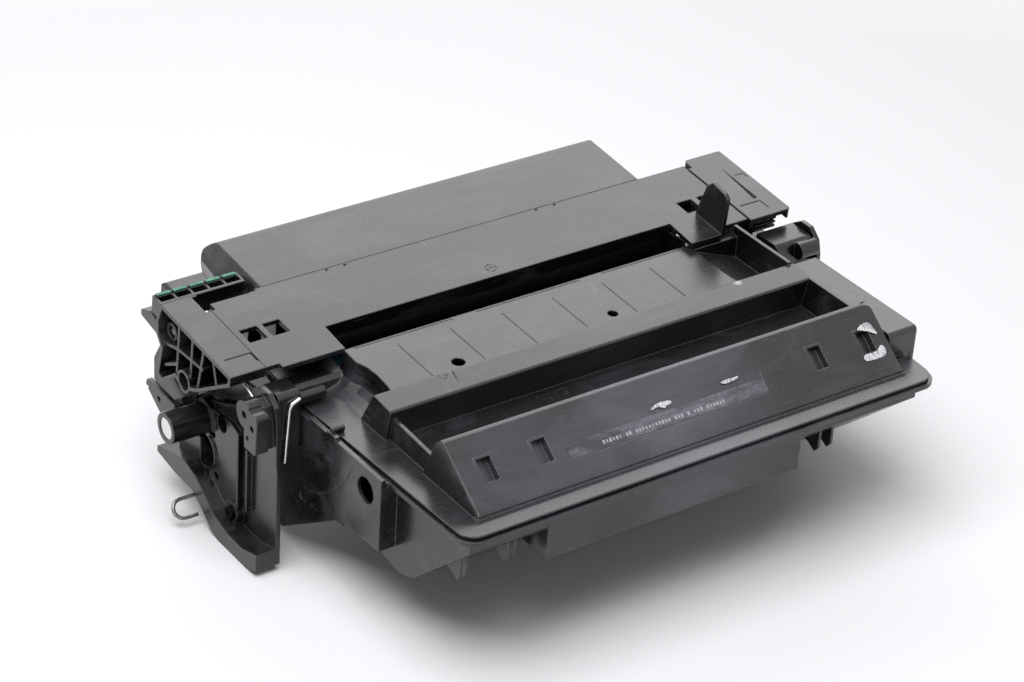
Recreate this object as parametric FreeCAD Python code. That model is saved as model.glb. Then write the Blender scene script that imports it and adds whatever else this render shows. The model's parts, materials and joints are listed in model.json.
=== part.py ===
import FreeCAD, Part
import math
import os

V = FreeCAD.Vector

# All lengths are millimetres. While the pieces are drawn, x runs along the cartridge from the
# front left corner of the flange, y runs back from the front edge and z up from the flange top.
# The last step moves everything so that the middle of the footprint on the ground is zero.

# general moulding sizes
wall = 2.0
play = 0.3
run_gap = 0.05
screw_head_r = 3.4
screw_r = 1.3
screw_head_t = 1.6

# toner hopper, upper half
flange_len = 284.0
flange_round = 9.0
lid_t = 1.3
body_right_x = flange_len - 12.0
shelf_rear_y = 146.0
ridge_x0 = 12.6
ridge_x1 = body_right_x - 0.8
ridge_foot_y = 10.4
ridge_top_y = 42.0
ridge_top_z = 25.5
ridge_back_y = 47.0
ridge_back_lean = 10.0
ridge_end_r = 1.5
ridge_corner_r = 4.0
pocket_x = (24.2, 55.2, ridge_x1 - 48.2, ridge_x1 - 17.0)
pocket_w = 7.8
pocket_len = 12.0
pocket_depth = 5.0
pocket_at = 14.0
label_x0 = 71.0
label_x1 = 191.0
label_at = 11.5
label_w = 13.0
label_depth = 0.8
label_t = 0.3
label_strip_w = 7.6
beam_y0 = 84.5
beam_y1 = 100.5
beam_z0 = 17.5
beam_z1 = 19.0
beam_lean = 4.0
gusset_len = 10.2
recess_left_z = 10.5
recess_right_z = 18.2
shelf_x0 = 26.5
shelf_x1 = ridge_x1 - 33.2
shelf_z0 = 14.0
shelf_z1 = 15.8
side_wall_top = 20.5
pocket_floor_z = 3.0
shelf_hole_x = (69.0, 163.0)
shelf_hole_r = (3.5, 2.8)
shelf_hole_y = 111.0
line_w = 0.4
line_depth = 0.3
line_pitch = 31.0

# toner hopper, lower half
seam = 0.9
lip_out = 1.6
lip_t = 2.2
lip_in = 9.0
front_wall_h = 8.7
belly_slope_y = 44.0
belly_slope_z = -48.8
belly_z = -52.3
belly_back_y = 92.0
belly_back_z = -44.5
block_x0 = 45.5
block_x1 = flange_len - 86.5
block_z = -26.3
side_x = -8.0
side_y0 = 60.0
side_z = -40.0
cheek_low_y = 146.0
cheek_low_z = -77.0
sight_hole_y = 73.0
sight_hole_z = -12.5
sight_hole_r = 6.9
arc_y = 143.5
arc_z = 18.3
arc_r = 64.0

# drum, rollers and gears
drum_y = 185.0
drum_z = -27.0
drum_r = 15.0
drum_wall = 1.0
drum_x0 = 8.0
drum_x1 = body_right_x - 10.0
drum_pin_r = 5.7
gear_module = 0.8
gear_x0 = body_right_x + 3.5
gear_w = 6.0
drum_teeth = 39
dev_teeth = 20
idler_a_teeth = 34
agit_teeth = 38
idler_b_teeth = 36
tooth_fill = 0.38
dev_lead = 0.8
dev_angle = 192.3
dev_sleeve_r = 8.2
dev_sleeve_wall = 0.9
dev_journal_r = 3.0
core_gap = 0.5
bush_wall = 2.0
idler_pin_r = 2.5
agit_shaft_r = 3.0
agit_r = 16.0
agit_blade_t = 1.2
charge_angle = 80.0
charge_r = 6.0
charge_core_r = 3.0
charge_gap = 0.35
wiper_angle = 24.0
wiper_gap = 0.35

# drum unit (its flat top leans back by this angle)
tilt_deg = 5.0
top_y0 = 140.0
top_z = 20.0
plate_t = 2.4
unit_x0 = -19.8
unit_x1 = body_right_x + 6.6
slot_x0 = 23.5
slot_x1 = unit_x1 - 41.6
slot_y1 = 161.0
plate_front_y = 144.6
plate_step_x = -12.5
tab_x1 = unit_x1 - 22.8
tab_front_y = 140.8
seam_y = 203.7
bin_x0 = 3.9
bin_top_x0 = 12.5
bin_x1 = unit_x1 - 31.1
bin_depth = 46.8
bin_floor_z = -22.0
fin_t = 2.2
fin_h = 24.5
cap_x0 = -39.7
cap_rear_y = 212.0
right_block_x1 = unit_x1 + 27.2
right_block_y0 = 144.4
right_block_y1 = 207.2

# end plates and hinge
plate_x = -24.5
web_t = 2.5
skirt_x = -38.0
hub_x = -52.0
hub_r = 8.2
hinge_y = 134.3
hinge_z = 5.0
hinge_pin_r = 2.0
hinge_head_r = 7.2
boss_x = -38.0
saddle_x0 = -21.5
saddle_x1 = -9.3
saddle_top = 12.0
right_plate_x = right_block_x1 + 2.7
right_saddle_x0 = unit_x1 + 4.9
right_saddle_x1 = right_plate_x - 0.9
right_skirt_x = right_plate_x + 11.0
right_hub_x = right_plate_x + 18.5

# drum shutter
shutter_pivot_y = 183.0
shutter_pivot_z = -70.0
wire_r = 1.0
loop_x = -50.5
loop_dy = -7.0
loop_dz = -7.0
shutter_r = 20.2
shutter_t = 1.2
shutter_a0 = 248.0
shutter_a1 = 322.0


def box(x0, x1, y0, y1, z0, z1):
    return Part.makeBox(x1 - x0, y1 - y0, z1 - z0, V(x0, y0, z0))


def face_of(points):
    return Part.Face(Part.makePolygon(points + [points[0]]))


def prism_x(yz, x0, x1):
    face = face_of([V(x0, y, z) for y, z in yz])
    return face.extrude(V(x1 - x0, 0, 0))


def prism_z(xy, z0, z1):
    face = face_of([V(x, y, z0) for x, y in xy])
    return face.extrude(V(0, 0, z1 - z0))


def prism_y(xz, y0, y1):
    face = face_of([V(x, y0, z) for x, z in xz])
    return face.extrude(V(0, y1 - y0, 0))


def rod_x(y, z, r, x0, x1):
    return Part.makeCylinder(r, x1 - x0, V(x0, y, z), V(1, 0, 0))


def rod_z(x, y, r, z0, z1):
    return Part.makeCylinder(r, z1 - z0, V(x, y, z0), V(0, 0, 1))


def tube_x(y, z, r, hole, x0, x1):
    return rod_x(y, z, r, x0, x1).cut(rod_x(y, z, hole, x0 - 1, x1 + 1))


def join(first, *rest):
    shape = first
    for piece in rest:
        shape = shape.fuse(piece)
    return shape.removeSplitter()


def less(shape, *cutters):
    for cutter in cutters:
        shape = shape.cut(cutter)
    return shape


def rounded(points, radii):
    # a closed outline in the XY plane with an arc of the given radius at each corner
    edges = []
    ends = []
    count = len(points)
    for i in range(count):
        here = V(points[i][0], points[i][1], 0)
        before = V(points[i - 1][0], points[i - 1][1], 0)
        after = V(points[(i + 1) % count][0], points[(i + 1) % count][1], 0)
        r = radii[i] if isinstance(radii, (list, tuple)) else radii
        a = (before - here).normalize()
        b = (after - here).normalize()
        half = a.getAngle(b) / 2
        if r <= 0:
            ends.append((here, here, None))
            continue
        back = r / math.tan(half)
        mid_dir = (a + b).normalize()
        centre = here + mid_dir * (r / math.sin(half))
        ends.append((here + a * back, here + b * back, centre - mid_dir * r))
    for i in range(count):
        start, stop, mid = ends[i]
        if mid is not None:
            edges.append(Part.Arc(start, mid, stop).toShape())
        nxt = ends[(i + 1) % count][0]
        if (nxt - stop).Length > 1e-6:
            edges.append(Part.makeLine(stop, nxt))
    return Part.Wire(edges)


def plate_rounded(points, radii, z0, z1):
    face = Part.Face(rounded(points, radii))
    face.translate(V(0, 0, z0))
    return face.extrude(V(0, 0, z1 - z0))


def prism_x_rounded(yz, radii, x0, x1):
    face = Part.Face(rounded(yz, radii))
    face.rotate(V(0, 0, 0), V(1, 1, 1), 120)
    face.translate(V(x0, 0, 0))
    return face.extrude(V(x1 - x0, 0, 0))


def inset(points, d):
    # the same outline moved inwards by d; the points run anticlockwise
    out = []
    count = len(points)
    for i in range(count):
        p0 = points[i - 1]
        p1 = points[i]
        p2 = points[(i + 1) % count]
        ux = p1[0] - p0[0]
        uy = p1[1] - p0[1]
        lu = math.hypot(ux, uy)
        vx = p2[0] - p1[0]
        vy = p2[1] - p1[1]
        lv = math.hypot(vx, vy)
        n1 = (-uy / lu, ux / lu)
        n2 = (-vy / lv, vx / lv)
        scale = d / (1 + n1[0] * n2[0] + n1[1] * n2[1])
        out.append((p1[0] + (n1[0] + n2[0]) * scale, p1[1] + (n1[1] + n2[1]) * scale))
    return out


def tilted(shape):
    # the drum unit is drawn with a level top, then leant back about its front edge
    turned = shape.copy()
    turned.rotate(V(0, top_y0, top_z), V(1, 0, 0), tilt_deg)
    return turned


def polar(y, z, r, deg):
    return (y + r * math.cos(math.radians(deg)), z + r * math.sin(math.radians(deg)))


parts = {}


# toner hopper, upper half: flange plate, handle ridge, finger recess, beam and shelf

slope = math.atan2(ridge_top_z - 2.2, ridge_top_y - 2.5 - ridge_foot_y)
face_dir = V(0, math.cos(slope), math.sin(slope))
face_out = V(0, -math.sin(slope), math.cos(slope))
face_foot = V(0, ridge_foot_y, 2.2)


def on_ridge(shape):
    # drawn flat on the XY plane: x along the ridge, y up its face, z out of it
    turned = shape.copy()
    turned.rotate(V(0, 0, 0), V(1, 0, 0), math.degrees(slope))
    turned.translate(face_foot)
    return turned


flange_outline = [(0, 0), (flange_len, 0), (flange_len + 1.6, 22.5), (body_right_x, 22.5),
                  (body_right_x, shelf_rear_y), (-5.0, shelf_rear_y), (-4.6, 128.0)]
flange_radii = [flange_round, flange_round, 1.0, 1.0, 0, 0, 0]
lid = plate_rounded(flange_outline, flange_radii, -lid_t, 0)

ridge_section = [(ridge_foot_y, -lid_t), (ridge_back_y + ridge_back_lean, -lid_t),
                 (ridge_back_y, ridge_top_z - 3.5),
                 (ridge_top_y + 1.5, ridge_top_z), (ridge_top_y - 1.0, ridge_top_z - 0.2),
                 (ridge_foot_y, 2.2)]
ridge_skin = prism_x_rounded(ridge_section, [0, 0, 2.5, 1.2, 1.2, 0.8], ridge_x0, ridge_x1)
# the ends of the face are softened, and its upper right corner is rounded off
face_len = math.hypot(ridge_top_y - 1.0 - ridge_foot_y, ridge_top_z - 2.4)
for x_end, sign in ((ridge_x0, 1), (ridge_x1, -1)):
    x_mid = x_end + sign * ridge_end_r
    strip = box(min(x_end - sign, x_mid), max(x_end - sign, x_mid), 0.5, face_len + 3, -ridge_end_r, 1)
    strip = strip.cut(Part.makeCylinder(ridge_end_r, face_len + 5, V(x_mid, 0, -ridge_end_r), V(0, 1, 0)))
    ridge_skin = ridge_skin.cut(on_ridge(strip))
corner_x = ridge_x1 - ridge_corner_r
corner_up = face_len - ridge_corner_r
corner = box(corner_x, ridge_x1 + 1, corner_up, face_len + 2, -20, 3)
corner = corner.cut(rod_z(corner_x, corner_up, ridge_corner_r, -21, 4))
ridge_skin = ridge_skin.cut(on_ridge(corner))
ridge_hollow_section = inset(ridge_section, wall)
ridge_hollow_section[0] = (ridge_hollow_section[0][0], -lid_t - 1)
ridge_hollow_section[1] = (ridge_hollow_section[1][0], -lid_t - 1)
ridge_hollow = prism_x(ridge_hollow_section, ridge_x0 + wall, ridge_x1 - wall)
ridge_foot_lip = box(ridge_x0 - 0.8, ridge_x1 + 0.5, ridge_foot_y - 1.2, ridge_foot_y + 3, -lid_t, 1.0)

# the finger recess has a floor at flange level and a low wall at each end
recess_rear_y = beam_y0 + beam_lean + 1
recess_left = prism_x([(ridge_back_y - 1, -lid_t), (recess_rear_y, -lid_t),
                       (beam_y0 + 1, recess_left_z + 2.5),
                       (ridge_back_y - 1, recess_left_z)], ridge_x0 + wall, ridge_x0 + 2 * wall)
recess_right = prism_x([(ridge_back_y - 1, -lid_t), (recess_rear_y, -lid_t), (beam_y0 + 1, recess_right_z),
                        (ridge_back_y - 1, recess_right_z)], ridge_x1 - wall, ridge_x1)

beam_section = [(beam_y0 + beam_lean, -lid_t), (beam_y1, -lid_t), (beam_y1, beam_z1), (beam_y0, beam_z0)]
beam_skin = prism_x_rounded(beam_section, [0, 0, 1.0, 1.4], ridge_x0, ridge_x1)
beam_hollow_section = inset(beam_section, wall)
beam_hollow_section[0] = (beam_hollow_section[0][0], -lid_t - 1)
beam_hollow_section[1] = (beam_hollow_section[1][0], -lid_t - 1)
beam_hollow = prism_x(beam_hollow_section, ridge_x0 + wall, ridge_x1 - wall)
gusset = prism_x([(beam_y1 - wall, -lid_t), (beam_y1 + gusset_len, -lid_t), (beam_y1, beam_z1 - 1.2),
                  (beam_y1 - wall, beam_z1 - 1.2)],
                 ridge_x0, shelf_x0 + 1.0)

# the shelf is a raised flat with a curved left flank that falls to flange level
shelf_edge = [(shelf_x0 - 0.6, beam_y1), (shelf_x0 + 0.7, 109.5), (shelf_x0 + 1.4, 119.0),
              (shelf_x0 + 0.7, 128.0), (shelf_x0 - 1.7, 134.5), (shelf_x0 - 1.3, shelf_rear_y)]
wall_x0 = ridge_x1 - wall - 1.8
wall_x1 = ridge_x1 - 1.8
shelf_pitch = (shelf_z1 - shelf_z0) / (shelf_rear_y - beam_y1)


def shelf_height(y):
    return shelf_z0 + (y - beam_y1) * shelf_pitch


shelf_block = prism_x([(beam_y1 - 1, -lid_t), (shelf_rear_y, -lid_t), (shelf_rear_y, shelf_z1),
                       (beam_y1 - 1, shelf_z0)], 8.0, ridge_x1)
flank = []
for near, far in zip(shelf_edge[:-1], shelf_edge[1:]):
    strip = prism_y([(0, -lid_t - 1), (-30, -lid_t - 1), (-30, shelf_z1 + 1), (0.2, shelf_z1 + 1),
                     (-1.2, 9.0), (-2.8, 5.0), (-6.0, 2.0), (-11.0, 0.5), (-13.5, 0.0),
                     (-13.5, -lid_t - 1)],
                    near[1], far[1])
    shear = FreeCAD.Matrix()
    shear.A12 = (far[0] - near[0]) / (far[1] - near[1])
    shear.A14 = near[0] - shear.A12 * near[1]
    flank.append(strip.transformGeometry(shear))
flank_front = prism_y([(0, -lid_t - 1), (-30, -lid_t - 1), (-30, shelf_z1 + 1), (0.2, shelf_z1 + 1),
                       (-1.2, 9.0), (-2.8, 5.0), (-6.0, 2.0), (-11.0, 0.5), (-13.5, 0.0),
                       (-13.5, -lid_t - 1)],
                      beam_y1 - 2, beam_y1)
flank_front.translate(V(shelf_edge[0][0], 0, 0))
shelf_block = less(shelf_block, flank_front, *flank)
shelf_hollow = prism_x([(beam_y1 - wall, -lid_t - 1), (shelf_rear_y - wall, -lid_t - 1),
                        (shelf_rear_y - wall, shelf_z1 - wall), (beam_y1 - wall, shelf_z0 - wall)],
                       shelf_x0 + 4.0, wall_x0)
pocket_rear_y = shelf_rear_y - 5.0
pocket_slope = [(shelf_x1, shelf_z0 + 0.6), (wall_x0, pocket_floor_z)]
pocket_cut = prism_y([pocket_slope[0], pocket_slope[1], (wall_x0, 40), (shelf_x1, 40)], beam_y1,
                     pocket_rear_y)
pocket_floor = prism_y([(shelf_x1 - 0.5, shelf_z0 + 0.4), (shelf_x1 - 0.5, shelf_z0 - wall),
                        (wall_x0 + 0.5, pocket_floor_z - wall),
                        (wall_x0 + 0.5, pocket_floor_z), (shelf_x1, shelf_z0 + 0.4)], beam_y1 - 1,
                        pocket_rear_y + wall)
pocket_end = prism_y([(shelf_x1 - 0.5, shelf_z0 - wall), (wall_x0 + 0.5, pocket_floor_z - wall),
                      (wall_x0 + 0.5, shelf_z1 - 1.5), (shelf_x1 - 0.5, shelf_z1 - 0.5)], pocket_rear_y,
                      pocket_rear_y + wall)
high_wall = box(wall_x0, wall_x1, beam_y1 - 1, shelf_rear_y - 1.0, -lid_t, side_wall_top)

lid = join(lid, ridge_skin, ridge_foot_lip, recess_left, recess_right, beam_skin, gusset, shelf_block,
           high_wall)
lid = less(lid, ridge_hollow, beam_hollow, shelf_hollow, pocket_cut)
lid = join(lid, pocket_floor, pocket_end)

# a raised deck at the left rear runs in under the drum unit
deck = prism_x([(139.5, -lid_t), (141.0, 4.5), (143.5, 6.2), (164.0, 7.2), (164.0, 5.6), (145.5, 4.6),
                (145.5, -lid_t)],
               saddle_x1 + play, shelf_x0 - 3.0)
lid = join(lid, deck)

# four blind pockets in the face of the ridge
for x in pocket_x:
    shell = on_ridge(box(x - 1.2, x + pocket_w + 1.2, pocket_at - 1.2, pocket_at + pocket_len + 1.2,
                         -pocket_depth - 1.2, -0.6))
    lid = lid.fuse(shell)
    lid = lid.cut(on_ridge(box(x, x + pocket_w, pocket_at, pocket_at + pocket_len, -pocket_depth, 5)))

label_cut = plate_rounded([(label_x0, label_at), (label_x1, label_at), (label_x1, label_at + label_w),
                           (label_x0, label_at + label_w)], 2.4, -label_depth, 4)
lid = lid.cut(on_ridge(label_cut))

for x, r in zip(shelf_hole_x, shelf_hole_r):
    lid = lid.cut(rod_z(x, shelf_hole_y, r, shelf_z0 - 8, shelf_z1 + 2))

# shallow scribed lines across the shelf and a double line along its rear edge
tilt_shelf = math.degrees(math.atan(shelf_pitch))


def on_shelf(shape):
    turned = shape.copy()
    turned.rotate(V(0, 0, 0), V(1, 0, 0), tilt_shelf)
    turned.translate(V(0, beam_y1, shelf_z0))
    return turned


scribe = []
line_x = shelf_x0 + 24.5
while line_x < shelf_x1 - 10:
    scribe.append(on_shelf(box(line_x, line_x + line_w, 6.0, 37.0, -line_depth, 2)))
    line_x += line_pitch
rear_line_y = shelf_rear_y - beam_y1 - 1.6
# a ring mark and a tapering nick in the top of the beam
scribe.append(rod_z(51.1, 98.1, 2.4, beam_z1 - 0.6, beam_z1 + 1).cut(rod_z(51.1, 98.1, 1.7, 0, beam_z1 + 2)))
scribe.append(prism_z([(55.3, beam_y1 - 10.2), (58.2, beam_y1 + 1.0), (55.2, beam_y1 + 1.0)], beam_z1 - 1.0,
                      beam_z1 + 1))
scribe.append(on_shelf(box(shelf_x0 + 4, shelf_x0 + 62, rear_line_y, rear_line_y + line_w, -line_depth, 2)))
scribe.append(on_shelf(box(shelf_x0 + 76, shelf_x0 + 140, rear_line_y, rear_line_y + line_w, -line_depth, 2)))
scribe.append(on_shelf(box(shelf_x0 + 154, shelf_x0 + 205, rear_line_y, rear_line_y + line_w, -line_depth,
                           2)))
lid = less(lid, *scribe)

# weld rib under the flange, and the rear wall that hangs from the shelf
rib_outline_out = [(3.2, 3.2), (body_right_x - 0.4, 3.2), (body_right_x - 0.4, shelf_rear_y),
                   (-2.6, shelf_rear_y),
                   (-2.6, 128.0)]
rib_outer = prism_z(rib_outline_out, -lid_t - seam, -lid_t)
rib_inner = prism_z(inset(rib_outline_out, 1.6), -lid_t - seam - 1, -lid_t + 0.5)
lid = join(lid, rib_outer.cut(rib_inner))
lid = less(lid, prism_x(ridge_hollow_section, ridge_x0 + wall, ridge_x1 - wall).cut(
    on_ridge(box(ridge_x0, ridge_x1, -5, 60, -pocket_depth - 1.3, 5))))
parts["hopper_lid"] = lid

# the label strip lies in the lower part of its recess
strip = plate_rounded([(label_x0 + play, label_at + play), (label_x1 - play, label_at + play),
                       (label_x1 - play, label_at + play + label_strip_w),
                       (label_x0 + play, label_at + play + label_strip_w)], 2.0,
                      -label_depth, -label_depth + label_t)
parts["label_strip"] = on_ridge(strip)


# toner hopper, lower half

lip_top = -lid_t - seam
tub_section = [(0.5, lip_top), (0.5, -front_wall_h), (belly_slope_y, belly_slope_z),
               (belly_slope_y + 10, belly_z),
               (belly_slope_y + 18, belly_z), (belly_back_y, belly_back_z), (128.0, belly_back_z),
               (150.0, -48.0), (168.0, -45.5), (168.0, -14.0), (shelf_rear_y, -14.0), (shelf_rear_y, lip_top)]
tub_inner = inset(tub_section, wall)
tub_inner[0] = (tub_inner[0][0], lip_top + 1)
tub_inner[11] = (shelf_rear_y - wall, lip_top + 1)
tub_inner[8] = (171.0, tub_inner[8][1])
tub_inner[9] = (171.0, tub_inner[9][1])
tub_outer = prism_x(tub_section, 1.5, body_right_x)
tub_cavity = prism_x(tub_inner, 1.5 + wall, body_right_x - wall)

# the left side steps out behind the flange corner and ends in a cheek that reaches down
cheek = [(side_y0, lip_top), (side_y0, side_z), (belly_back_y + 1.5, side_z - 2.0),
         (cheek_low_y, cheek_low_z),
         (cheek_low_y + 6, cheek_low_z + 2), (168.0, -45.5), (168.0, -14.0), (shelf_rear_y, -14.0),
         (shelf_rear_y, lip_top)]
left_cheek = prism_x(cheek, side_x, side_x + wall)
side_box_front = box(side_x, 3.0, side_y0, side_y0 + wall, side_z, lip_top)
side_rail = prism_x([(side_y0, lip_top - 0.5), (shelf_rear_y - 22, lip_top - 0.5), (shelf_rear_y - 22, -0.2),
                     (side_y0, -0.2)], side_x, side_x + 2.6)
side_box = prism_x([(side_y0, lip_top), (side_y0, side_z), (belly_back_y, side_z),
                    (belly_back_y, belly_back_z),
                    (128.0, belly_back_z), (150.0, -48.0), (168.0, -45.5), (168.0, -14.0),
                    (shelf_rear_y, -14.0),
                    (shelf_rear_y, lip_top)], side_x, 3.0)
side_box_cavity = prism_x([(side_y0 + wall, lip_top + 1), (side_y0 + wall, side_z + wall),
                           (belly_back_y, side_z + wall), (128.0, side_z + wall), (150.0, -46.0),
                           (171.0, -43.3),
                           (171.0, -16.0), (shelf_rear_y - wall, -16.0), (shelf_rear_y - wall, lip_top + 1)],
                          side_x + wall, 4.0)
right_cheek = prism_x(cheek, body_right_x - wall, body_right_x)

tub = join(tub_outer, side_box, left_cheek, right_cheek)
tub = less(tub, tub_cavity, side_box_cavity)
# the walls between the two boxes are open where the chambers join
tub = tub.cut(prism_x([(side_y0 + wall, lip_top + 1), (side_y0 + wall, side_z + wall), (128.0, side_z + wall),
                       (150.0, -46.0), (171.0, -43.3), (171.0, -16.0), (shelf_rear_y - wall, -16.0),
                       (shelf_rear_y - wall, lip_top + 1)], side_x + wall, 10.0))
side_roof = box(side_x, 4.5, side_y0, shelf_rear_y, lip_top - 1.4, lip_top)
clip = box(side_x, side_x + 8.0, 100.0, 108.0, lip_top - 1.0, 1.2)
clip = less(clip, box(side_x + 2.6, side_x + 6.0, 99.0, 106.0, -0.6, 2.0),
            box(side_x + 5.0, side_x + 9.0, 99.0, 104.5, -0.6, 2.0),
            box(-5.0, side_x + 9.0, 99.0, 109.0, lip_top, play))
clip_pin = rod_x(105.5, 2.0, 1.4, side_x + 1.0, side_x + 8.0)
tub = join(tub, side_rail, side_box_front, side_roof, clip, clip_pin)

# the lip carries the flange plate and shows as a thin step below it
lip_outline = [(-lip_out, -lip_out), (flange_len + lip_out, -lip_out), (flange_len + lip_out + 1.6, 22.0),
               (body_right_x, 22.0), (body_right_x, shelf_rear_y), (-4.5, shelf_rear_y),
               (-4.5 - lip_out, 128.0)]
lip_hole = prism_x(tub_inner, 1.5 + wall, body_right_x - wall)
lip = plate_rounded(lip_outline, [flange_round + 1, flange_round + 1, 1, 1, 0, 0, 0], lip_top - lip_t,
                    lip_top)
lip = less(lip, lip_hole)
tub = join(tub, lip)

# raised front block and the pointed guide ribs under the front
block = box(block_x0, block_x1, -0.2, 26.0, block_z, lip_top - 1)
block_inside = box(block_x0 + wall, block_x1 - wall, wall, 24.0, block_z + wall, lip_top)
block = block.cut(prism_x([(0.5, -front_wall_h), (belly_slope_y, belly_slope_z), (belly_slope_y, 5),
                           (0.5, 5)],
                          block_x0 + 1.0, block_x1 - 1.0).common(block_inside))
tub = join(tub, block)
guide_x = (9.0, 16.0, 33.0, 40.0, flange_len - 62.0, flange_len - 53.0)
guide_y = (17.0, 22.0, 14.0, 18.0, 13.0, 14.0)
guides = []
for gx, gy in zip(guide_x, guide_y):
    top = -front_wall_h - (gy - 0.5) * 0.92
    guides.append(prism_x([(gy, top + 2), (gy, top - 10.0), (gy + 2.5, top - 13.0), (gy + 8.0, top - 10.0),
                           (gy + 13.0, top - 9.5)], gx, gx + 1.4))
tub = join(tub, *guides)

# holes: round sight hole, small slot and the two roller bores
dev_dist = gear_module * (drum_teeth + dev_teeth) / 2
dev_y, dev_z = polar(drum_y, drum_z, dev_dist, dev_angle)
bush_r = dev_journal_r + run_gap + bush_wall
tub = less(tub, rod_x(sight_hole_y, sight_hole_z, sight_hole_r, side_x - 1, side_x + wall + 0.5))
tub = less(tub, rod_x(127.7, -48.0, 2.9, side_x - 1, side_x + 1.0))
tub = less(tub, box(side_x - 1, side_x + wall + 0.5, 114.6, 119.4, -49.2, -47.4))
# a shallow round step in the side wall, where the cover of the left bearing is set in
arc_cut = tube_x(arc_y, arc_z, arc_r, arc_r - 0.5, side_x - 1, side_x + 0.4)
arc_cut = arc_cut.common(box(side_x - 2, side_x + 1, 84.0, 121.0, -42.0, -4.0))
tub = less(tub, arc_cut)
tub = less(tub, rod_x(dev_y, dev_z, bush_r, side_x - 1, side_x + wall + 0.5))
tub = less(tub, rod_x(dev_y, dev_z, bush_r, body_right_x - wall - 0.5, body_right_x + 1))

# gear chain from the roller to the two agitators, all on the right end wall
def gear_step(y, z, teeth_a, teeth_b, deg):
    return polar(y, z, gear_module * (teeth_a + teeth_b) / 2, deg)


idler_a = gear_step(dev_y, dev_z, dev_teeth, idler_a_teeth, 161.0)
agit_2 = gear_step(idler_a[0], idler_a[1], idler_a_teeth, agit_teeth, 176.0)
idler_b = gear_step(agit_2[0], agit_2[1], agit_teeth, idler_b_teeth, 178.0)
agit_1 = gear_step(idler_b[0], idler_b[1], idler_b_teeth, agit_teeth, 182.0)
for centre in (agit_1, agit_2):
    tub = less(tub, rod_x(centre[0], centre[1], agit_shaft_r + run_gap, body_right_x - wall - 0.5,
                          body_right_x + 1))
    stop = tube_x(centre[0], centre[1], agit_shaft_r + run_gap + 1.5, agit_shaft_r + run_gap,
                  1.5 + wall - 0.3, 1.5 + wall + 4)
    tub = tub.fuse(stop) if centre is agit_1 else tub
# the rear agitator turns in a post that stands on the belly floor
post = box(4.0, 6.5, agit_2[0] - 6, agit_2[0] + 6, belly_back_z + 0.5, agit_2[1] + 6)
post = post.cut(rod_x(agit_2[0], agit_2[1], agit_shaft_r + run_gap, 3, 8))
tub = tub.fuse(post)
for centre in (idler_a, idler_b):
    stud = rod_x(centre[0], centre[1], idler_pin_r, body_right_x - 0.5, gear_x0 + gear_w + 0.3)
    tub = tub.fuse(stud)
tub = tub.removeSplitter()
parts["hopper_tub"] = tub

FreeCAD.Console.PrintMessage("hopper done\n")


# gears with plain straight teeth, drawn narrow so that they mesh with a little play
def gear(y, z, teeth, x0, x1, bore, phase):
    pitch_r = gear_module * teeth / 2
    tip_r = pitch_r + gear_module * 0.8
    root_r = pitch_r - gear_module * 1.05
    step = 360.0 / teeth
    outline = []
    for i in range(teeth):
        mid = phase + i * step
        outline.append(polar(y, z, root_r, mid - step * tooth_fill * 0.75))
        outline.append(polar(y, z, tip_r, mid - step * tooth_fill * 0.32))
        outline.append(polar(y, z, tip_r, mid + step * tooth_fill * 0.32))
        outline.append(polar(y, z, root_r, mid + step * tooth_fill * 0.75))
    wheel = prism_x(outline, x0, x1)
    return wheel.cut(rod_x(y, z, bore, x0 - 1, x1 + 1)) if bore > 0 else wheel


def mesh_phase(from_centre, from_teeth, from_phase, to_centre, to_teeth):
    # the driven wheel shows a gap where the driver shows a tooth, along the line of centres
    deg = math.degrees(math.atan2(to_centre[1] - from_centre[1], to_centre[0] - from_centre[0]))
    step_a = 360.0 / from_teeth
    step_b = 360.0 / to_teeth
    part_a = ((deg - from_phase) / step_a) % 1.0
    return (deg + 180.0) + part_a * step_b - step_b / 2


gear_x1 = gear_x0 + gear_w
drum_phase = 0.0
# the developer gear sits a little ahead within its backlash, so it clears the drum gear while the hopper swings
dev_phase = mesh_phase((drum_y, drum_z), drum_teeth, drum_phase, (dev_y, dev_z), dev_teeth) + dev_lead
idler_a_phase = mesh_phase((dev_y, dev_z), dev_teeth, dev_phase, idler_a, idler_a_teeth)
agit_2_phase = mesh_phase(idler_a, idler_a_teeth, idler_a_phase, agit_2, agit_teeth)
idler_b_phase = mesh_phase(agit_2, agit_teeth, agit_2_phase, idler_b, idler_b_teeth)
agit_1_phase = mesh_phase(idler_b, idler_b_teeth, idler_b_phase, agit_1, agit_teeth)

parts["idler_gear_a"] = gear(idler_a[0], idler_a[1], idler_a_teeth, gear_x0, gear_x1, idler_pin_r + run_gap,
                             idler_a_phase)
parts["idler_gear_b"] = gear(idler_b[0], idler_b[1], idler_b_teeth, gear_x0, gear_x1, idler_pin_r + run_gap,
                             idler_b_phase)


def agitator(centre, x_left, gear_phase):
    shaft = rod_x(centre[0], centre[1], agit_shaft_r, x_left, gear_x1)
    blade = box(x_left + 8, body_right_x - wall - 4, centre[0] - agit_blade_t / 2,
                centre[0] + agit_blade_t / 2,
                centre[1] - agit_r, centre[1] + agit_r)
    window_w = (body_right_x - wall - 4 - x_left - 8 - 5 * 6.0) / 4
    x = x_left + 8 + 6.0
    for i in range(4):
        blade = blade.cut(box(x, x + window_w, centre[0] - 3, centre[0] + 3, centre[1] + 5,
                              centre[1] + agit_r - 3))
        blade = blade.cut(box(x, x + window_w, centre[0] - 3, centre[0] + 3, centre[1] - agit_r + 3,
                              centre[1] - 5))
        x += window_w + 6.0
    wheel = gear(centre[0], centre[1], agit_teeth, gear_x0, gear_x1, 0, gear_phase)
    return shaft.fuse(blade), wheel.cut(rod_x(centre[0], centre[1], agit_shaft_r, gear_x0 - 1, gear_x1 + 1))


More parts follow.
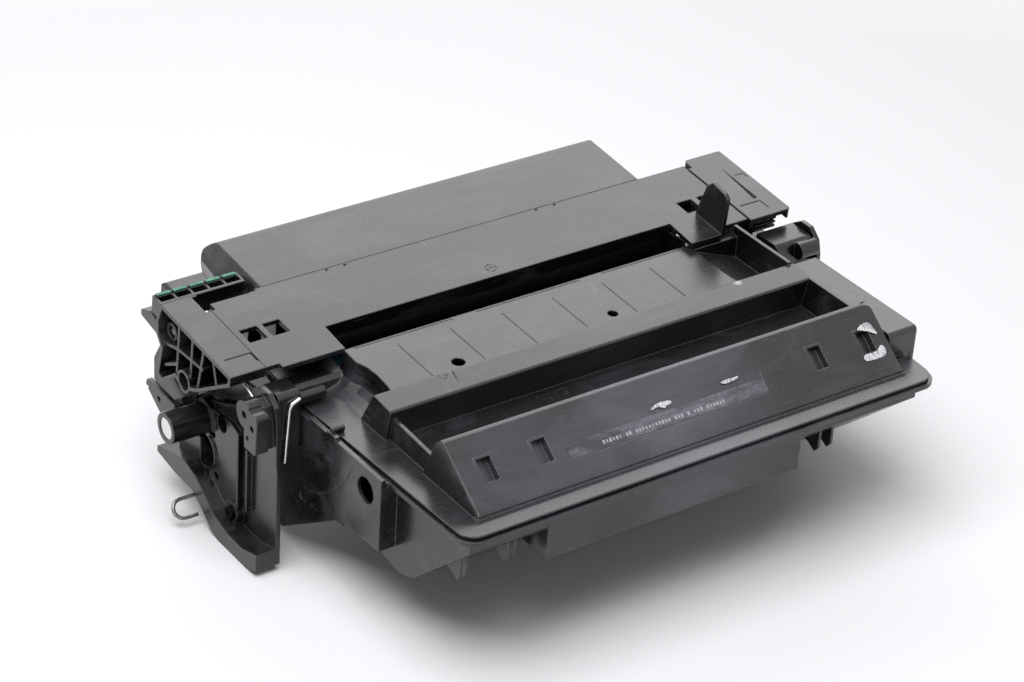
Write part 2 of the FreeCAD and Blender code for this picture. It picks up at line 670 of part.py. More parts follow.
parts["front_agitator"], parts["front_agitator_gear"] = agitator(agit_1, 1.5 + wall + 0.3, agit_1_phase)
parts["rear_agitator"], parts["rear_agitator_gear"] = agitator(agit_2, 4.3, agit_2_phase)

# developer roller: sleeve with end journals that turns round a fixed magnet
sleeve_x0 = 12.0
sleeve_x1 = body_right_x - 16.0
sleeve = tube_x(dev_y, dev_z, dev_sleeve_r, dev_sleeve_r - dev_sleeve_wall, sleeve_x0, sleeve_x1)
cap_l = tube_x(dev_y, dev_z, dev_sleeve_r - dev_sleeve_wall, 1.9 + run_gap, sleeve_x0, sleeve_x0 + 4)
journal_l = tube_x(dev_y, dev_z, dev_journal_r, 1.9 + run_gap, side_x - 1.0, sleeve_x0 + 1)
cap_r = rod_x(dev_y, dev_z, dev_sleeve_r - dev_sleeve_wall, sleeve_x1 - 4, sleeve_x1)
journal_r = rod_x(dev_y, dev_z, dev_journal_r, sleeve_x1 - 1, gear_x1)
parts["developer_sleeve"] = join(sleeve, cap_l, journal_l, cap_r, journal_r)
core_r = dev_sleeve_r - dev_sleeve_wall - core_gap
core = rod_x(dev_y, dev_z, core_r, sleeve_x0 + 4 + core_gap, sleeve_x1 - 4 - core_gap)
core_stub = rod_x(dev_y, dev_z, 1.9, side_x - 6.0, sleeve_x0 + 5)
parts["magnet_core"] = join(core, core_stub)
parts["developer_gear"] = gear(dev_y, dev_z, dev_teeth, gear_x0, gear_x1, dev_journal_r, dev_phase)
left_bush = tube_x(dev_y, dev_z, bush_r, dev_journal_r + run_gap, side_x, side_x + wall)
left_flange = tube_x(dev_y, dev_z, bush_r + 1.2, dev_journal_r + run_gap, side_x + wall, side_x + wall + 1.5)
parts["roller_bush_left"] = join(left_bush, left_flange)
right_bush = tube_x(dev_y, dev_z, bush_r, dev_journal_r + run_gap, body_right_x - wall, body_right_x)
right_flange = tube_x(dev_y, dev_z, bush_r + 1.2, dev_journal_r + run_gap, body_right_x - wall - 1.5,
                      body_right_x - wall)
parts["roller_bush_right"] = join(right_bush, right_flange)
# the magnet is held still by a clamp on the left cheek
clamp = box(side_x - 6.0, side_x - 1.3, dev_y - 4.5, dev_y + 4.5, dev_z - 4.5, dev_z + 4.5)
clamp_foot = box(side_x - 3.0, side_x, dev_y - 4.5, dev_y + 4.5, dev_z - 10.0, dev_z - bush_r - 1.0)
clamp_leg = box(side_x - 6.0, side_x - 1.3, dev_y - 4.5, dev_y + 4.5, dev_z - 10.0, dev_z - 4.0)
clamp = join(clamp, clamp_foot, clamp_leg).cut(rod_x(dev_y, dev_z, 1.9, side_x - 7, side_x))
parts["magnet_clamp"] = clamp

# doctor blade: a steel angle under the roof of the trough and a rubber edge
roof_z = -14.0 - wall
leg_y = dev_y - 6.0
bracket_x0 = 14.0
bracket_x1 = sleeve_x1 - 2.0
angle = join(box(bracket_x0, bracket_x1, leg_y - 9.0, leg_y, roof_z - 1.2, roof_z),
             box(bracket_x0, bracket_x1, leg_y - 1.2, leg_y, roof_z - 5.5, roof_z))
parts["doctor_bracket"] = angle
edge_y = leg_y + 1.5
edge_z = dev_z + math.sqrt((dev_sleeve_r + wiper_gap) ** 2 - (edge_y - dev_y) ** 2)
parts["doctor_edge"] = box(bracket_x0, bracket_x1, leg_y, leg_y + 1.5, edge_z, roof_z - 1.5)

# photosensitive drum: tube, left bush, right gear with its drive boss
drum_tube = tube_x(drum_y, drum_z, drum_r, drum_r - drum_wall, drum_x0, drum_x1)
parts["drum_tube"] = drum_tube
bore_r = drum_pin_r + run_gap
bush_a = tube_x(drum_y, drum_z, drum_r - drum_wall, bore_r, drum_x0, drum_x0 + 8)
bush_b = tube_x(drum_y, drum_z, drum_r + 0.8, bore_r, drum_x0 - 5, drum_x0)
parts["drum_bush"] = join(bush_a, bush_b)
plug = rod_x(drum_y, drum_z, drum_r - drum_wall, drum_x1 - 8, drum_x1)
neck = rod_x(drum_y, drum_z, drum_r - 2.0, drum_x1, gear_x0)
toothed = gear(drum_y, drum_z, drum_teeth, gear_x0, gear_x1, 0, drum_phase)
spigot_r = 7.0
spigot = rod_x(drum_y, drum_z, spigot_r, gear_x1, right_plate_x + 6.0)
corner = [polar(drum_y, drum_z, 6.0, a) for a in (90, 210, 330)]
coupling = prism_x_rounded(corner, 1.2, right_plate_x + 5.0, right_hub_x - 1.0)
parts["drum_gear"] = join(plug, neck, toothed, spigot, coupling)

# charge roller: rubber on a steel core, in two sliding saddles with springs
charge_y, charge_z = polar(drum_y, drum_z, drum_r + charge_r + charge_gap, charge_angle)
charge_x0 = 16.0
charge_x1 = drum_x1 - 10.0
parts["charge_core"] = rod_x(charge_y, charge_z, charge_core_r, charge_x0 - 8, charge_x1 + 8)
parts["charge_rubber"] = tube_x(charge_y, charge_z, charge_r, charge_core_r, charge_x0, charge_x1)
saddle_a = box(charge_x0 - 6.5, charge_x0 - 1.5, charge_y - 5, charge_y + 5, charge_z - 1.5, charge_z + 7)
saddle_b = box(charge_x1 + 1.5, charge_x1 + 6.5, charge_y - 5, charge_y + 5, charge_z - 1.5, charge_z + 7)
bore = rod_x(charge_y, charge_z, charge_core_r + run_gap, charge_x0 - 10, charge_x1 + 10)
mouth = box(charge_x0 - 10, charge_x1 + 10, charge_y - charge_core_r - run_gap,
            charge_y + charge_core_r + run_gap,
            charge_z - 4, charge_z)
parts["charge_saddle_left"] = less(saddle_a, bore, mouth)
parts["charge_saddle_right"] = less(saddle_b, bore, mouth)


# drum unit: top plate, slot edge, tab, windows and the walls under it
def window(x0, x1, y0, y1):
    return box(x0, x1, y0, y1, top_z - plate_t - 1, top_z + 1)


cell_x1 = 8.3
top_outline = [(unit_x0, plate_front_y), (plate_step_x, plate_front_y), (plate_step_x, tab_front_y + 0.5),
               (slot_x0 - 0.8, tab_front_y + 0.5), (slot_x0, slot_y1), (slot_x1, slot_y1),
               (slot_x1 - 0.8, tab_front_y),
               (tab_x1 + fin_t, tab_front_y), (tab_x1 + fin_t + 2.0, tab_front_y + 6.0),
               (unit_x1, tab_front_y + 6.0), (unit_x1, seam_y), (cell_x1, seam_y), (cell_x1, 202.0),
               (-17.6, 202.0),
               (-17.6, 196.7), (unit_x0, 196.7)]
top_plate = prism_z(top_outline, top_z - plate_t, top_z)
top_plate = less(top_plate, window(-16.5, -6.5, 165.3, 176.3), window(-3.5, 6.2, 165.3, 176.3),
                 window(unit_x1 - 26.4, unit_x1 - 16.6, 165.0, 175.6),
                 window(unit_x1 - 13.0, unit_x1 - 3.6, 165.0, 175.6))
slot_lip = box(slot_x0 - 2, slot_x1 + 2, slot_y1, slot_y1 + 2.0, top_z - 8.0, top_z - 1)
slot_end_l = box(slot_x0 - wall, slot_x0, plate_front_y + 3, slot_y1 + 1, top_z - 7.0, top_z - 1)
fin = prism_x_rounded([(tab_front_y, top_z - 1), (163.0, top_z - 1), (163.0, top_z + 2.5),
                       (158.0, top_z + fin_h - 4.2),
                       (154.2, top_z + fin_h), (143.5, top_z + fin_h - 1.2),
                       (tab_front_y, top_z + fin_h - 3.0)],
                      [0, 0, 1.0, 1.5, 1.0, 1.2, 1.2], tab_x1, tab_x1 + fin_t)
rear_web = box(bin_x0 + 1.7, unit_x1 - 1.0, seam_y - wall, seam_y, top_z - 33.0, top_z - 1)
right_wall = box(unit_x1 - wall, unit_x1, 153.0, seam_y, top_z - 28.0, top_z - 1)
frame = join(top_plate, slot_lip, slot_end_l, fin, rear_web, right_wall)

# seat for the wiper bracket, and blocks that guide the charge roller saddles
frame = tilted(frame)
tip_y, tip_z = polar(drum_y, drum_z, drum_r + wiper_gap, wiper_angle)
seat_z = tip_z + 12.0
wiper_x0 = bin_x0 + 8.0
wiper_x1 = bin_x1 - wall - 1.0
seat = box(wiper_x0, wiper_x1, tip_y + 4.0, tip_y + 18.0, seat_z + 1.2, seat_z + 3.4)
spring_h = 7.0
roof_guide = charge_z + 7 + spring_h
frame = join(frame, seat)
for x0 in (charge_x0 - 7.0, charge_x1 + 1.0):
    guide = box(x0 - 0.8, x0 + 6.8, charge_y - 7.0, charge_y + 7.0, charge_z + 1.0, top_z + 2.8)
    guide = guide.cut(box(x0, x0 + 6.0, charge_y - 5.2, charge_y + 5.2, charge_z - 2.0, roof_guide))
    core_gap_box = box(x0 - 2, x0 + 8, charge_y - charge_core_r - play, charge_y + charge_core_r + play,
                       charge_z, charge_z + charge_core_r + play)
    frame = frame.fuse(guide.cut(core_gap_box))
frame = frame.removeSplitter()

# small mould marks on the flat top: two arrow holes and the shallow steps by the left cap
marks = []
for x in (49.0, 59.8, 178.5, 190.2):
    tri = prism_z([(x, seam_y - 2.0), (x + 2.8, seam_y - 0.9), (x + 0.6, seam_y - 0.4)],
                  top_z - plate_t - 1, top_z + 1)
    marks.append(tilted(tri))
ring = rod_z(127.0, 167.8, 3.2, top_z - line_depth, top_z + 1).cut(rod_z(127.0, 167.8, 2.5, top_z - 2,
                                                                         top_z + 2))
dot = rod_z(127.0, 167.8, 1.0, top_z - line_depth, top_z + 1)
marks.append(tilted(ring))
marks.append(tilted(dot))
frame = less(frame, *marks)
parts["unit_frame"] = frame


# springs above the charge saddles, bent from square wire with ten straight lengths a turn
def coil_spring(x, y, z0, z1, r, wire_d, turns):
    sides = 10
    path = []
    for i in range(turns * sides + 1):
        turn = math.radians(360.0 * i / sides)
        rise = z0 + wire_d / 2 + (z1 - z0 - wire_d) * i / (turns * sides)
        path.append(V(x + r * math.cos(turn), y + r * math.sin(turn), rise))
    half = wire_d / 2
    start = path[0]
    corners = [V(start.x - half, y, start.z - half), V(start.x + half, y, start.z - half),
               V(start.x + half, y, start.z + half), V(start.x - half, y, start.z + half)]
    ring = Part.makePolygon(corners + [corners[0]])
    return Part.Wire(Part.makePolygon(path)).makePipeShell([ring], True, False, 1)


spring_z0 = charge_z + 7.0 + run_gap
spring_z1 = roof_guide - run_gap
parts["charge_spring_left"] = coil_spring(charge_x0 - 4.0, charge_y, spring_z0, spring_z1, 2.2, 0.7, 4)
parts["charge_spring_right"] = coil_spring(charge_x1 + 4.0, charge_y, spring_z0, spring_z1, 2.2, 0.7, 4)

# wiper: steel angle and rubber edge leaning on the drum
flat = box(wiper_x0, wiper_x1, tip_y + 5.0, tip_y + 16.0, seat_z, seat_z + 1.2)
leg = box(wiper_x0, wiper_x1, tip_y + 5.0, tip_y + 6.2, seat_z - 4.5, seat_z)
parts["wiper_bracket"] = join(flat, leg)
parts["wiper_edge"] = prism_x([(tip_y + 5.0, seat_z - 0.4), (tip_y + 3.2, seat_z - 0.4), (tip_y, tip_z),
                               (tip_y + 1.3, tip_z + 0.3), (tip_y + 5.0, seat_z - 4.5)],
                              wiper_x0, wiper_x1)

# waste bin at the rear; its left end is a waist with a bevel that runs out to the front
bin_rear_y = seam_y + bin_depth
bin_front_y = seam_y + play
bin_section = [(bin_front_y, bin_floor_z), (bin_rear_y, bin_floor_z + 3), (bin_rear_y, top_z),
               (bin_front_y, top_z)]
bin_outer = prism_x_rounded(bin_section, [1, 4, 4, 0], bin_x0, bin_x1)


def bin_end(y, crease_x, crease_z, step):
    low_x = bin_x0 + step
    points = [(bin_x0 - 20, top_z + 5), (bin_top_x0 + step, top_z + 5),
              (bin_top_x0 + step, top_z + step * 0.4),
              (crease_x + step, crease_z), (low_x, crease_z - 3.5), (low_x + 4.0, -3.0),
              (low_x + 4.0, bin_floor_z - 9),
              (bin_x0 - 20, bin_floor_z - 9)]
    return Part.makePolygon([V(x, y, z) for x, z in points] + [V(points[0][0], y, points[0][1])])


def bin_end_cut(step):
    rear = bin_end(bin_rear_y + 2, bin_x0 + 2.2, top_z - 3.8, step)
    front = bin_end(bin_front_y - 4, bin_x0 + 1.2, top_z - 11.5, step)
    return Part.makeLoft([front, rear], True, True)


bin_inner = prism_x([(seam_y - 3, bin_floor_z + wall), (bin_rear_y - wall, bin_floor_z + 3 + wall),
                     (bin_rear_y - wall, top_z - wall), (seam_y - 3, top_z - wall)], bin_x0 - 2,
                     bin_x1 - wall)
corner_r = 3.5
plan_corner = box(bin_x0 - 1, bin_x0 + corner_r, bin_rear_y - corner_r, bin_rear_y + 1, bin_floor_z - 8,
                  top_z + 5)
plan_corner = plan_corner.cut(rod_z(bin_x0 + corner_r, bin_rear_y - corner_r, corner_r, bin_floor_z - 9,
                                    top_z + 6))
parts["waste_bin"] = tilted(less(bin_outer.cut(bin_end_cut(0.0)), bin_inner.cut(bin_end_cut(wall)),
                                 plan_corner))

# thin film that closes the gap between the bin floor and the drum
film_tip = polar(drum_y, drum_z, drum_r + wiper_gap + 0.1, 4.0)
film_root = tilted(box(0, 1, seam_y + play, seam_y + play + 1, bin_floor_z, bin_floor_z + 1)).BoundBox
parts["recovery_film"] = prism_x([film_tip, (film_tip[0] + 0.3, film_tip[1] - 0.35),
                                  (film_root.YMin + 3.0, film_root.ZMin - 0.2),
                                  (film_root.YMin + 3.0, film_root.ZMin + 0.1),
                                  (film_root.YMin, film_root.ZMin - 0.1)],
                                 wiper_x0, wiper_x1)

FreeCAD.Console.PrintMessage("unit done\n")

# left cap: a flat top over an open cell structure
cap_outline = [(plate_front_y, top_z), (plate_front_y, top_z - 5.4), (172.1, -6.8), (186.3, -15.0),
               (195.1, -12.8),
               (207.2, -23.6), (212.6, -22.0), (210.0, -4.1), (214.6, 0.7), (215.4, 9.4), (cap_rear_y, top_z)]
cap_outline.reverse()
cap_solid = prism_x(cap_outline[::-1], cap_x0, unit_x0 - play)
cap_cells = prism_x(inset(cap_outline[::-1], 1.8), cap_x0 - 1, unit_x0 - play - wall)
cap = cap_solid.cut(cap_cells)
ribs = []
for y0, z0, y1, z1 in ((158.0, 3.0, 164.0, 19.0), (176.0, -8.0, 172.0, 19.0), (183.0, -14.0, 183.0, 19.0),
                       (196.0, -13.0, 196.0, 19.0), (172.0, 6.0, 196.0, 3.0), (196.0, 3.0, 213.0, -3.0),
                       (196.0, -6.0, 208.0, -14.0)):
    dy = y1 - y0
    dz = z1 - z0
    length = math.hypot(dy, dz)
    ny = -dz / length * 0.8
    nz = dy / length * 0.8
    rib = prism_x([(y0 - ny, z0 - nz), (y1 - ny, z1 - nz), (y1 + ny, z1 + nz), (y0 + ny, z0 + nz)],
                  cap_x0 + 1.5, unit_x0 - play - 1)
    ribs.append(rib.common(cap_solid))
cap = join(cap, *ribs)
wing_top = 9.8
wing = prism_x([(214.0, 8.0), (222.0, wing_top), (230.5, 5.7), (230.2, 2.6), (214.0, 1.0)], cap_x0,
               cap_x0 + 8.0)
post_y = 186.7
post_z = -10.0
post_r = 6.0
post_bore_r = 4.7
pin_y = 210.9 - 4.0
pin_z = 5.5
cap = join(cap, wing, rod_x(post_y, post_z, post_r, cap_x0, unit_x0 - play - 1),
           rod_x(pin_y, pin_z, 5.0, cap_x0 + 4, unit_x0 - play - 1))
cap = less(cap, rod_x(post_y, post_z, post_bore_r, cap_x0 - 1, unit_x0 - 6),
           rod_x(pin_y, pin_z, 3.4, cap_x0 - 1, cap_x0 + 7))
cap = cap.cut(rod_x(pin_y, pin_z, 1.7, cap_x0 - 1, unit_x0 - 4))
cap = less(cap, box(-35.0, unit_x0, 157.6, 158.4, top_z - 0.7, top_z + 1),
           box(unit_x0 - play - 0.9, unit_x0, 151.0, 158.4, top_z - 0.7, top_z + 1),
           box(-23.0, unit_x0, 196.7, cap_rear_y - 1.2, top_z - 6, top_z + 1))
# its inner wall reaches down behind the end plate
skirt_wall = prism_x([(146.0, 6.0), (152.0, -4.0), (163.0, -13.0), (176.0, -19.5), (190.0, -20.5),
                      (199.0, -26.0),
                      (206.0, -31.0), (211.8, -31.0), (211.8, -2.0)], unit_x0 - play - wall, unit_x0 - play)
parts["left_cap"] = join(tilted(cap), skirt_wall)
cap_pin = rod_x(pin_y, pin_z, 1.7, cap_x0 + 5.0, unit_x0 - 4)
parts["cap_pin"] = tilted(cap_pin)

# right cap: a flat block over the right end, open under its front edge
right_x0 = unit_x1 + play
right_outline = [(right_x0, right_block_y0), (right_block_x1, right_block_y0),
                 (right_block_x1, right_block_y1),
                 (right_x0 + 2.6, right_block_y1), (right_x0 + 2.6, seam_y - 4.0), (right_x0, seam_y - 4.0)]
right_cap = plate_rounded(right_outline, [0, 1.5, 1.0, 2.2, 0, 0], top_z - 5.2, top_z + 0.6)
right_hollow = prism_z([(right_x0 + wall, right_block_y0 - 1), (right_block_x1 - wall, right_block_y0 - 1),
                        (right_block_x1 - wall, right_block_y1 - wall),
                        (right_x0 + 2.6 + wall, right_block_y1 - wall),
                        (right_x0 + 2.6 + wall, seam_y - 4.0 - wall), (right_x0 + wall, seam_y - 4.0 - wall)],
                       top_z - 9.0, top_z - 1.8)
right_cap = right_cap.cut(right_hollow)
for x in (right_x0 + 5.1, right_x0 + 12.1, right_x0 + 19.1):
    right_cap = right_cap.fuse(box(x, x + 1.4, right_block_y0 + 3, right_block_y1 - 4, top_z - 5.0,
                                   top_z - 1))
socket_x = right_x0 + 5.1
socket = box(socket_x, socket_x + 15.4, right_block_y0 + 3.0, right_block_y0 + 21.6, top_z - 11.0,
             top_z - 4.9)
socket = less(socket, box(socket_x + 1.5, socket_x + 16.0, right_block_y0 + 1.6, right_block_y0 + 15.6,
                          top_z - 9.8, top_z - 8.4),
              box(socket_x + 1.5, socket_x + 16.0, right_block_y0 + 1.6, right_block_y0 + 15.6, top_z - 7.4,
                  top_z - 5.8))
right_cap = right_cap.fuse(socket)
groove = [prism_z([(right_x0 + 16.9, 192.8), (right_x0 + 14.2, 160.3), (right_x0 + 16.8, 160.6)],
                  top_z - 0.6, top_z + 2)]
for gx0, gx1, gy0, gy1, gz in ((2.7, 16.4, 157.2, 157.9, -0.1), (16.0, 16.7, 150.1, 157.5, -0.1),
                               (18.8, 25.0, 183.0, 183.5, 0.2), (24.6, 25.1, 179.5, 183.2, 0.2)):
    groove.append(box(right_x0 + gx0, right_x0 + gx1, gy0, gy1, top_z + gz, top_z + 2))
right_cap = less(right_cap, *groove)
parts["right_cap"] = tilted(right_cap.removeSplitter())


# end plates: a web with openings, a curved skirt below it and a hub on the drum axis
skirt_out = [(121.0, -78.5), (126.0, -81.2), (131.0, -82.0), (158.0, -82.0), (164.5, -80.0), (172.4, -73.6),
             (183.0, -67.0), (200.7, -66.5), (218.5, -63.8)]
skirt_in = [(218.5, -60.5), (200.0, -55.5), (190.0, -54.0), (181.2, -56.5), (173.0, -62.0), (163.9, -68.5),
            (149.0, -72.6), (134.3, -72.8), (121.0, -69.0)]
web_outline = [(121.0, -74.0), (134.0, -76.0), (149.0, -76.0), (164.0, -72.0), (175.0, -66.0), (190.0, -58.0),
               (200.0, -58.0), (203.0, -45.0), (203.0, -27.0), (196.0, -21.0), (176.0, -15.0), (160.0, -8.0),
               (149.0, 4.0), (144.0, 11.5), (138.0, 15.3), (130.5, 15.3), (124.5, 10.0), (122.3, 2.0),
               (122.0, -19.0),
               (121.0, -27.0)]


def end_plate(x_in, x_out, hub_end, sign):
    # x_in is the inner face of the web, x_out the outer face of the skirt
    web_out = x_in + sign * web_t
    lo = min(x_in, web_out)
    hi = max(x_in, web_out)
    web = prism_x(web_outline, lo, hi)
    skirt = prism_x(skirt_out + skirt_in, min(x_in, x_out), max(x_in, x_out))
    hub = rod_x(drum_y, drum_z, hub_r, min(x_in, hub_end), max(x_in, hub_end))
    collar = rod_x(drum_y, drum_z, hub_r + 1.6, min(x_in, x_in + sign * 6.0), max(x_in, x_in + sign * 6.0))
    return join(web, skirt, hub, collar)


screw_y = 157.0
screw_z = -67.0
plate_l = end_plate(plate_x, skirt_x, hub_x, -1)
raised = prism_x([(161.0, -17.5), (190.0, -20.6), (196.0, -34.0), (194.0, -52.0), (180.0, -62.0),
                  (163.0, -71.0),
                  (152.5, -72.0), (152.5, -20.0)], -29.5, plate_x - 1)
screw_boss = rod_x(screw_y, screw_z, 6.0, -31.0, plate_x - 1)
channel_rib_a = box(-31.0, plate_x - 1, 151.0, 152.5, -62.0, -18.0)
channel_rib_b = box(-30.0, plate_x - 1, 144.2, 145.4, -60.0, -24.0)
fin_plate = prism_x_rounded([(197.0, -25.5), (227.0, -27.5), (225.0, -23.4), (198.0, -24.0)],
                            [0.3, 1, 1, 0], -40.0, -37.5)
fin_lower = prism_x_rounded([(196.0, -25.0), (226.0, -27.5), (212.0, -36.5)], [0.5, 1, 1.5], -40.0, -37.5)
fin_arm = box(-38.0, plate_x, 197.0, 202.5, -36.0, -24.5)
boss_outline = [(hinge_y - 10.0, -11.5), (hinge_y + 2.5, -11.5), (hinge_y + 8.0, 2.0), (hinge_y + 5.5, 9.5),
                (hinge_y, 12.0), (hinge_y - 5.5, 9.5), (hinge_y - 8.0, 3.0)]
boss_root = prism_x(boss_outline, -31.0, plate_x - 1)
plate_l = join(plate_l, raised, screw_boss, channel_rib_a, channel_rib_b, fin_plate, fin_lower, fin_arm,
               boss_root)
through = [rod_x(184.5, -45.5, 9.5, -34, plate_x - 1.0), rod_x(169.0, -22.5, 4.6, -34, -20),
           rod_x(187.0, -63.0 + 3.0, 1.6, -34, -20),
           rod_x(177.5, -33.0, 2.2, -34, -20), rod_x(174.0, -56.0, 2.2, -34, -20),
           rod_x(213.0, -29.0, 1.6, -45, -30),
           box(-34, -20, 145.6, 150.8, -60.0, -24.0), rod_x(hinge_y, hinge_z, hinge_pin_r, -50, -20)]
plate_l = less(plate_l, *through)
ring_rim = tube_x(184.5, -45.5, 10.6, 9.5, -30.5, plate_x - 0.5)
plate_l = join(plate_l, ring_rim)
plate_l = less(plate_l, rod_x(drum_y, drum_z, drum_pin_r, hub_x - 1, plate_x + 1),
               rod_x(screw_y, screw_z, screw_r + run_gap, -32, -20),
               rod_x(screw_y, screw_z, screw_head_r + run_gap, -36, -31.0))
parts["left_end_plate"] = plate_l

plate_r = end_plate(right_plate_x, right_skirt_x, right_hub_x, 1)
plate_r = less(plate_r, rod_x(drum_y, drum_z, spigot_r + run_gap, right_plate_x - 1, right_hub_x + 1),
               rod_x(hinge_y, hinge_z, hinge_pin_r, right_plate_x - 1, right_hub_x))
plate_r = less(plate_r, rod_x(screw_y, screw_z, screw_r + run_gap, right_plate_x - 1, right_plate_x + 8),
               rod_x(screw_y, screw_z, screw_head_r + run_gap, right_plate_x + web_t, right_plate_x + 8))
parts["right_end_plate"] = plate_r

# the ribbed hinge cap outside the left plate
hinge_arm = prism_x_rounded([(hinge_y - 11.0, -12.6), (hinge_y - 0.7, -12.9), (hinge_y - 0.2, -2.0),
                             (hinge_y - 6.0, 9.2), (hinge_y - 12.2, 9.2)],
                            [1.0, 1.0, 0.5, 1.5, 3.0], boss_x, boss_x + 7.0)
hinge_head = rod_x(hinge_y, hinge_z, hinge_head_r, boss_x, boss_x + 7.0)
parts["hinge_cap"] = less(join(hinge_arm, hinge_head), rod_x(hinge_y, hinge_z, hinge_pin_r, -50, -20),
                          rod_x(hinge_y - 6.0, 10.6, 1.7, boss_x - 1, boss_x + 8),
                          rod_x(hinge_y - 7.4, 0.8, 1.7, boss_x - 1, boss_x + 3),
                          rod_x(hinge_y - 3.4, -6.5, 1.3, boss_x - 1, boss_x + 3))

# hinge pins, drum pin and the end plate screws
saddle_bore_r = hinge_pin_r + run_gap
parts["hinge_pin_left"] = rod_x(hinge_y, hinge_z, hinge_pin_r, boss_x + 2.0, saddle_x1 + 7.0)
parts["hinge_pin_right"] = rod_x(hinge_y, hinge_z, hinge_pin_r, right_saddle_x0 + 2.0, right_plate_x + web_t)
parts["drum_pin"] = rod_x(drum_y, drum_z, drum_pin_r, hub_x + 0.4, drum_x0 + 6.0)


def screw(x_face, sign):
    head = rod_x(screw_y, screw_z, screw_head_r, min(x_face, x_face + sign * screw_head_t),
                 max(x_face, x_face + sign * screw_head_t))
    shank = rod_x(screw_y, screw_z, screw_r, min(x_face, x_face - sign * 6.0),
                  max(x_face, x_face - sign * 6.0))
    body = join(head, shank)
    top = x_face + sign * screw_head_t
    lo = min(top, top - sign * 0.9)
    hi = max(top, top - sign * 0.9)
    cross_a = box(lo, hi + 0.01, screw_y - 2.2, screw_y + 2.2, screw_z - 0.4, screw_z + 0.4)
    cross_b = box(lo, hi + 0.01, screw_y - 0.4, screw_y + 0.4, screw_z - 2.2, screw_z + 2.2)
    return less(body, cross_a, cross_b)


parts["plate_screw_left"] = screw(-31.0, -1)
parts["plate_screw_right"] = screw(right_plate_x + web_t, 1)


# hinge saddles on the hopper, left and right
def saddle(x0, x1, front_y, foot_to):
    section = [(front_y, -38.0), (front_y + 6.5, -38.0), (front_y + 6.5, -12.0), (hinge_y + 9.7, -2.0),
               (hinge_y + 9.7, saddle_top), (front_y, saddle_top)]
    body = prism_x_rounded(section, [1, 1, 2, 1, 0.8, 3.5], x0, x1)
    foot = box(min(x0, foot_to), max(x1, foot_to), front_y, front_y + 6.0, -38.0, -20.0)
    return join(body, foot)


saddle_front = hinge_y - 4.6
saddle_l = saddle(saddle_x0, saddle_x1, saddle_front, side_x)
stub = rod_x(hinge_y, hinge_z, 3.4, saddle_x1 - 1, saddle_x1 + 15.5)
saddle_l = join(saddle_l, stub).cut(rod_x(hinge_y, hinge_z, saddle_bore_r, saddle_x0 - 1, saddle_x1 + 8.2))
parts["hinge_saddle_left"] = saddle_l
saddle_r = saddle(right_saddle_x0, right_saddle_x1, hinge_y - 8.0, right_saddle_x0)
nose = rod_x(hinge_y - 10.0, 7.2, 4.8, right_saddle_x0 + 12.0, right_saddle_x1)
saddle_r = join(saddle_r, nose).cut(rod_x(hinge_y, hinge_z, saddle_bore_r, right_saddle_x0 + 1.0,
                                          right_saddle_x1 + 2.0))
parts["hinge_saddle_right"] = saddle_r


def wire(path, r):
    # bent round wire with sharp corners, swept along straight lengths
    ring = Part.Wire(Part.makeCircle(r, path[0], path[1] - path[0]))
    return Part.Wire(Part.makePolygon(path)).makePipeShell([ring], True, False, 1)


# bright wire spring lying over the front of the left saddle
wire_y = saddle_front - wire_r - 0.05
parts["saddle_wire"] = wire([V(saddle_x1 - 1.0, wire_y, saddle_top - 1.2),
                             V(saddle_x1 - 5.8, wire_y, saddle_top - 3.2),
                             V(saddle_x1 - 7.0, wire_y, saddle_top - 5.2),
                             V(saddle_x1 - 9.4, wire_y, -28.0)], wire_r)

# drum shutter with its wire rod and the loop that opens it
arc_out = [polar(drum_y, drum_z, shutter_r + shutter_t,
                 shutter_a0 + i * (shutter_a1 - shutter_a0) / 12.0) for i in range(13)]
arc_in = [polar(drum_y, drum_z, shutter_r,
                shutter_a1 - i * (shutter_a1 - shutter_a0) / 12.0) for i in range(13)]
shutter = prism_x(arc_out + arc_in, -16.0, right_plate_x - 10.5)
arm_l = prism_x([(shutter_pivot_y - 4, shutter_pivot_z - 3), (shutter_pivot_y + 5, shutter_pivot_z - 3),
                 polar(drum_y, drum_z, shutter_r + 0.3, 285.0),
                 polar(drum_y, drum_z, shutter_r + 0.3, 265.0)], -18.0, -16.0)
arm_r = arm_l.copy()
arm_r.translate(V(right_plate_x + 7.5, 0, 0))
shutter = join(shutter, arm_l, arm_r)
shutter = shutter.cut(rod_x(shutter_pivot_y, shutter_pivot_z, wire_r, -30, right_skirt_x))
parts["drum_shutter"] = shutter

# cradle hooks on the end plates carry the rod
hook_l = box(plate_x, plate_x + 3.0, shutter_pivot_y - 4.0, shutter_pivot_y + 4.0, shutter_pivot_z - 3.5,
             -60.0)
hook_l = hook_l.cut(rod_x(shutter_pivot_y, shutter_pivot_z, wire_r + run_gap, plate_x - 1, plate_x + 5))
parts["left_end_plate"] = join(parts["left_end_plate"], hook_l)
hook_r = box(right_plate_x - 3.0, right_plate_x, shutter_pivot_y - 4.0, shutter_pivot_y + 4.0,
             shutter_pivot_z - 3.5, -60.0)
hook_r = hook_r.cut(rod_x(shutter_pivot_y, shutter_pivot_z, wire_r + run_gap, right_plate_x - 5,
                          right_plate_x + 1))
parts["right_end_plate"] = join(parts["right_end_plate"], hook_r)

